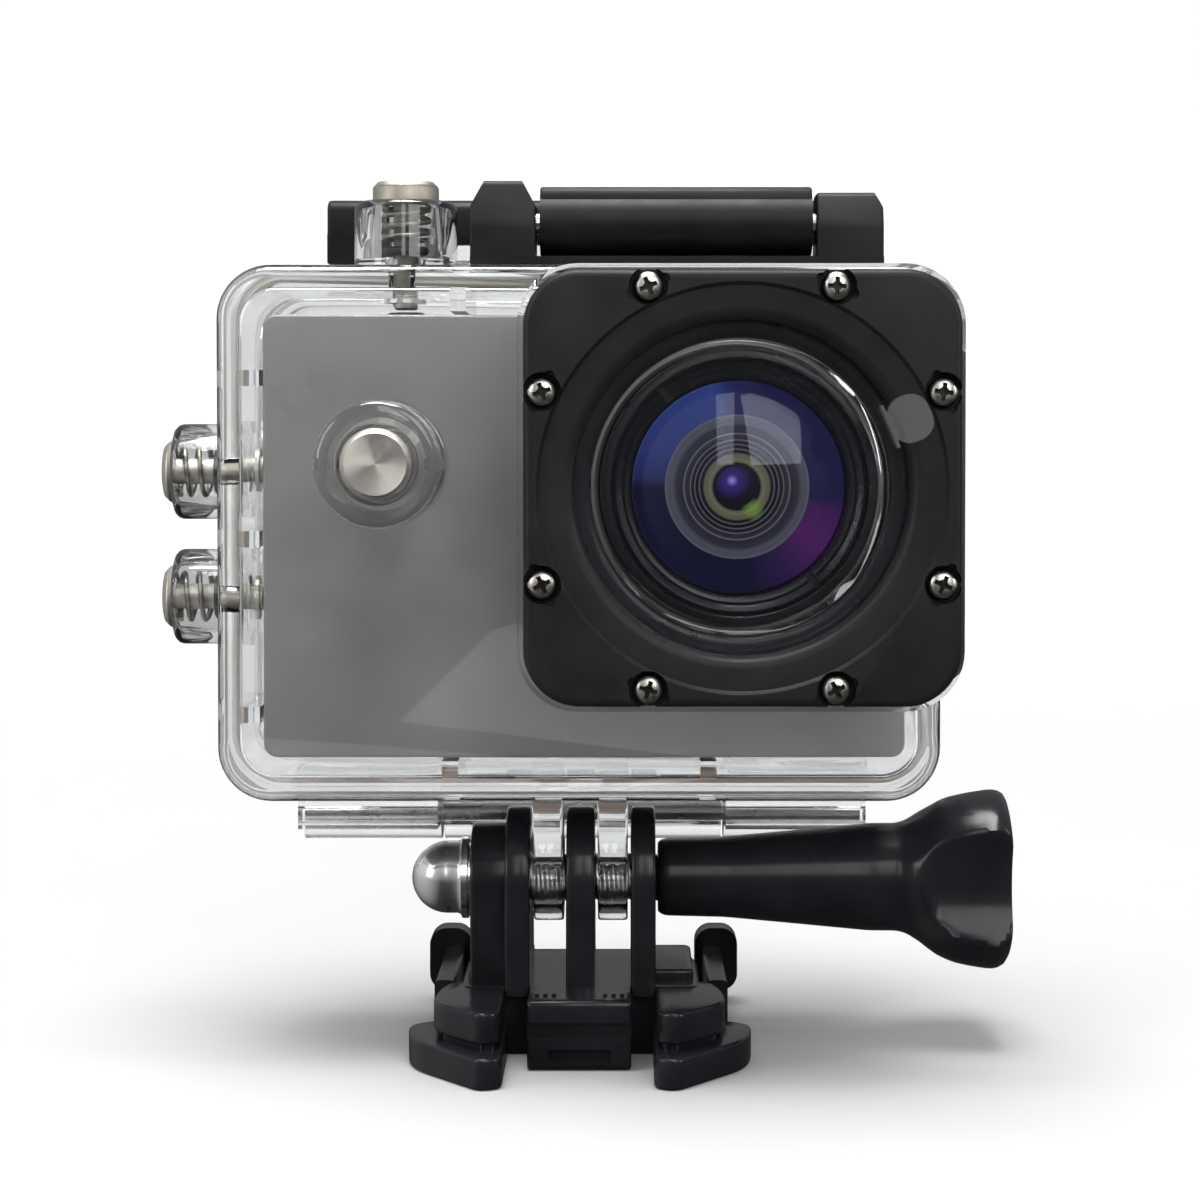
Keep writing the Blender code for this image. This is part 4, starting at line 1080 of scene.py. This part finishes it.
def make_buckle(paint):
    deck = [(-11.4, -6.4), (11.4, -6.4), (11.5, 6.6), (10.3, 12.5), (-10.3, 12.5), (-11.5, 6.6)]
    base = outline("Z", rounded_profile(deck, 1.2, 5, closed=True), (0.0, 6.5), soft=0.4)
    join(
        base,
        *foot(1),
        *foot(-1),
        rbox((-4.85, 4.85), (-12.8, -5.0), (0.01, 6.6), 0.6, 0, 4, 0.35, (-1, 1), 3),
        rbox((-10.9, 10.9), (-3.6, 9.0), (5.0, 7.6), 0.8, 2, 5, 0.35, (1,), 3),
        *[rbox((x, x + 0.4), (-11.0, -7.4), (6.5, 6.85)) for x in GRIP_LINES],
        *[upright(7.4, PRONG_R, 36, x) for x in ((-1.35, 1.35), (4.85, 7.2), (-7.2, -4.85))],
        upright(4.0, BOSS_R, 32, (-10.6, -7.0), (0,)),
    )
    cut(
        base,
        rbox((-6.0, 6.0), (-14.0, -12.2), (3.0, 4.5)),
        rbox((-2.9, 2.9), (-14.0, -12.1), (0.6, 2.0)),
        rbox((1.35, 4.85), (-9.0, 9.1), (6.5, 9.0)),
        rbox((-4.85, -1.35), (-9.0, 9.1), (6.5, 9.0)),
        rod("+X", (0.0, PIVOT_Z), PIVOT_HOLE_R, (-8.0, 20.0), 48),
        rod("-X", (0.0, PIVOT_Z), 4.15, (7.3, 12.0), 6),
    )
    place(smooth(base, 30), "buckle_body", "buckle", paint["buckle"], "buckle_base")
    make_arm(paint, 1, "right")
    make_arm(paint, -1, "left")


def make_arm(paint, side, label):
    def span(a, b):
        return (a, b) if side > 0 else (-b, -a)

    arm = rbox(span(12.3, 14.3), (-0.8, 17.0), (1.4, 6.0), 0.5, 1, 4)
    ear = rbox(span(11.6, 16.0), (16.0, 20.0), (1.41, 7.9), 1.7, 1, 8, 0.9, (1,), 4)
    join(arm, ear)
    name = "squeeze_arm_" + label
    place(smooth(arm, 30), name, "arm_" + label, paint["buckle"], "release_arm_" + label)


def make_nut(paint):
    angles = [math.radians(90 - 6 * i) for i in range(1, 16)]
    profile = [(0.0, 16.5)] + [(3.5 * math.cos(a), 13.0 + 3.5 * math.sin(a)) for a in angles]
    profile += [
        (3.5, 12.0), (3.65, 11.7), (4.0, 11.55), (4.0, 10.95), (3.9, 10.9), (3.3, 10.9),
        (3.3, 10.0), (0.0, 10.0),
    ]
    nut = turned("-X", (0.0, PIVOT_Z), profile, steps=72)
    join(nut, rod("-X", (0.0, PIVOT_Z), 3.85, (7.6, 10.6), 6))
    cut(nut, rod("-X", (0.0, PIVOT_Z), 2.6, (6.0, 14.2), 40))
    place(smooth(nut, 30), "dome_nut", "buckle", paint["chrome"], "acorn_nut")


def make_bolt(paint):
    """The bolt with its thread: the radius follows a helix of fine pitch."""
    low, high = mm_box("thumbscrew_bolt")
    pitch, depth, steps = 0.8, 0.22, 48
    rows = int((high[0] - low[0]) / pitch * 8)
    rings = []
    for i in range(rows + 1):
        x = low[0] + (high[0] - low[0]) * i / rows
        ring = []
        for k in range(steps):
            a = math.tau * k / steps
            phase = (x / pitch - k / steps) % 1.0
            r = 2.35 - depth * abs(2 * phase - 1)
            if x < low[0] + 0.6:
                r = min(r, 1.9 + (x - low[0]) * 0.6)
            ring.append((x, r * math.cos(a), PIVOT_Z + r * math.sin(a)))
        rings.append(ring)
    bolt = smooth(loft(rings), 70)
    place(bolt, "threaded_bolt", "bolt", paint["steel"], "thumbscrew_bolt")


def soft_min(a, b, k):
    h = max(k - abs(a - b), 0.0) / k
    return min(a, b) - h * h * k / 4


def make_handle(paint):
    """Tapered stem that flares into three lobes, with three scooped sides."""
    start, end = HANDLE[0][0], HANDLE[1][0]
    profile = [
        (start, 3.3), (start + 0.25, 3.65), (start + 0.6, 3.76), (14.0, 3.9), (20.0, 4.45),
        (28.0, 5.2), (31.0, 5.22), (32.0, 5.6), (33.0, 6.35), (34.6, 7.55), (36.0, 8.2),
        (37.5, 8.55), (39.4, 8.85), (40.4, 8.9), (40.9, 8.6), (end - 0.1, 8.0), (end, 7.4),
    ]
    steps = 120
    rings = []
    samples = []
    for (x0, r0), (x1, r1) in zip(profile, profile[1:]):
        parts = max(1, int((x1 - x0) / 0.35))
        for i in range(parts):
            samples.append((x0 + (x1 - x0) * i / parts, r0 + (r1 - r0) * i / parts))
    samples.append(profile[-1])
    spread = [r for _, r in samples]
    for _ in range(2):
        inner = [(a + 2 * b + c) / 4 for a, b, c in zip(spread, spread[1:], spread[2:])]
        spread = [spread[0], *inner, spread[-1]]
    for (x, _), r in zip(samples, spread):
        ring = []
        for k in range(steps):
            a = math.tau * k / steps
            reach = r
            for side in (math.pi, math.pi + math.tau / 3, math.pi - math.tau / 3):
                off = math.atan2(math.sin(a - side), math.cos(a - side))
                inside = SCOOP_R**2 - (SCOOP_OUT * math.sin(off)) ** 2
                if inside > 0 and abs(off) < math.pi / 2 and x > SCOOP_FROM:
                    fade = min(max((x - SCOOP_FROM) / 4.0, 0.0), 1.0)
                    scoop = SCOOP_OUT * math.cos(off) - math.sqrt(inside)
                    reach = soft_min(reach, scoop + (1 - fade) * 3.0, 0.7)
            ring.append((x, reach * math.cos(a), PIVOT_Z + reach * math.sin(a)))
        rings.append(ring)
    handle = loft(rings)
    cut(handle, rod("+X", (0.0, PIVOT_Z), 2.65, (6.0, 18.4), 48))
    place(smooth(handle, 45), "thumbscrew_grip", "knob", paint["buckle"], "thumbscrew_handle")


# ---------------- carried-over nodes


def paint_nodes(paint):
    kept = {
        "lens_window": "window", "door_hinge_pin": "steel", "latch_pin": "steel",
        "camera_body": "camera", "image_sensor": "screen", "main_board": "board",
        "battery": "battery", "battery_door": "camera", "lcd_screen": "screen",
    }
    for name in ("mode", "shutter", "up", "down"):
        kept[name + "_clip"] = "steel"
        kept["camera_" + name + "_button"] = "key"
    for name, key in kept.items():
        mesh = NODES[name].data
        if not mesh.materials:
            mesh.materials.append(paint[key])
        for i in range(len(mesh.materials)):
            mesh.materials[i] = paint[key]


# ---------------- stage


def ray_world():
    """Pale to the eye, with a bright top and dark sides for what is reflected."""
    world = bpy.data.worlds.new("studio")
    world.use_nodes = True
    sky = Graph(world.node_tree)
    direction = sky.split(sky.node("TexCoord").outputs["Generated"])
    tones = ((0.0, 0.03), (0.44, 0.05), (0.54, 0.22), (0.75, 0.36), (1.0, 0.55))
    height = sky.remap(direction["Z"], 0.0, 1.0, -1.0, 1.0)
    grey = sky.ramp(height, [(at, (tone, tone * 1.01, tone * 1.03)) for at, tone in tones])
    left = sky.remap(direction["X"], 0.0, 0.40, -0.35, -1.0)
    lift = sky.vector("ADD", grey, left).outputs[0]
    seen = sky.node("LightPath").outputs["Is Camera Ray"]
    sky.feed(
        sky.tree.nodes["Background"].inputs["Color"], sky.mix(seen, lift, (0.94, 0.95, 0.96, 1.0))
    )
    bpy.context.scene.world = world


def make_stage():
    """White sweep, soft boxes and a world that stays dark at the sides."""
    floor = Paint("white_sweep", Roughness=0.7)
    floor.colour(floor.noise(40.0), (0.415, 0.415, 0.415), (0.425, 0.425, 0.425))
    path = [
        (-190, 0), (-100, 0), (0, 0), (170, 0), (300, 0), (390, 14), (450, 60), (480, 130),
        (490, 240), (490, 560),
    ]
    bm = bmesh.new()
    rows = []
    for y, z in path:
        spots = [(x, y, z - 0.02) for x in (-420, -140, 0, 140, 420)]
        rows.append([bm.verts.new(Vector(spot) * MM) for spot in spots])
    for one, two in zip(rows, rows[1:]):
        for i in range(len(one) - 1):
            bm.faces.new((one[i], one[i + 1], two[i + 1], two[i]))
    sweep = link("sweep", bm)
    sweep.data.shade_smooth()
    sweep.data.materials.append(floor.material)
    sweep.visible_glossy = False
    distance = floor.vector("LENGTH", floor.coord).outputs["Value"]
    glow = floor.remap(distance, 0.02, 0.36, 0.04, 0.42)
    floor.set(Emission_Color=(1, 1, 1, 1), Emission_Strength=glow)
    lights = [
        ("key_top", (-0.03, -0.06, 0.60), (0.0, 0.01, 0.03), (0.34, 0.30), 6.2),
        ("left_box", (-0.60, -0.34, 0.30), (0.0, 0.0, 0.05), (0.22, 0.42), 1.5),
        ("right_box", (0.62, -0.20, 0.26), (0.0, 0.0, 0.05), (0.12, 0.40), 1.1),
        ("front_box_left", (-0.02, -0.44, 0.28), (0.015, 0.0, 0.054), (0.07, 0.30), 0.22),
        ("front_box_right", (0.17, -0.42, 0.28), (0.015, 0.0, 0.054), (0.22, 0.30), 0.80),
    ]
    for name, spot, target, size, power in lights:
        data = bpy.data.lights.new(name, "AREA")
        data.shape = "RECTANGLE"
        data.size, data.size_y = size
        data.energy = power
        lamp = bpy.data.objects.new(name, data)
        lamp.location = spot
        lamp.rotation_euler = (Vector(target) - Vector(spot)).to_track_quat("-Z", "Y").to_euler()
        bpy.context.scene.collection.objects.link(lamp)
    ray_world()
    bpy.context.scene.view_settings.view_transform = "Standard"


def make_camera():
    data = bpy.data.cameras.new("view")
    data.sensor_width = 36.0
    data.lens = 75.8
    data.shift_x = -0.0167
    data.shift_y = -0.07
    data.clip_start = 0.01
    camera = bpy.data.objects.new("view", data)
    camera.location = (0.0038, -0.246, 0.0577)
    camera.rotation_euler = (math.radians(90.0 - 1.5), 0.0, 0.0)
    bpy.context.scene.collection.objects.link(camera)
    bpy.context.scene.camera = camera


def build():
    paint = make_materials()
    for make in (
        make_shell, make_door, make_gasket, make_bezel, make_screws, make_barrel, make_lenses,
        make_port_seal, make_film, make_latch, make_flap, make_buttons, make_face, make_buckle,
        make_nut, make_bolt, make_handle, paint_nodes,
    ):
        make(paint)


build()
make_stage()
make_camera()
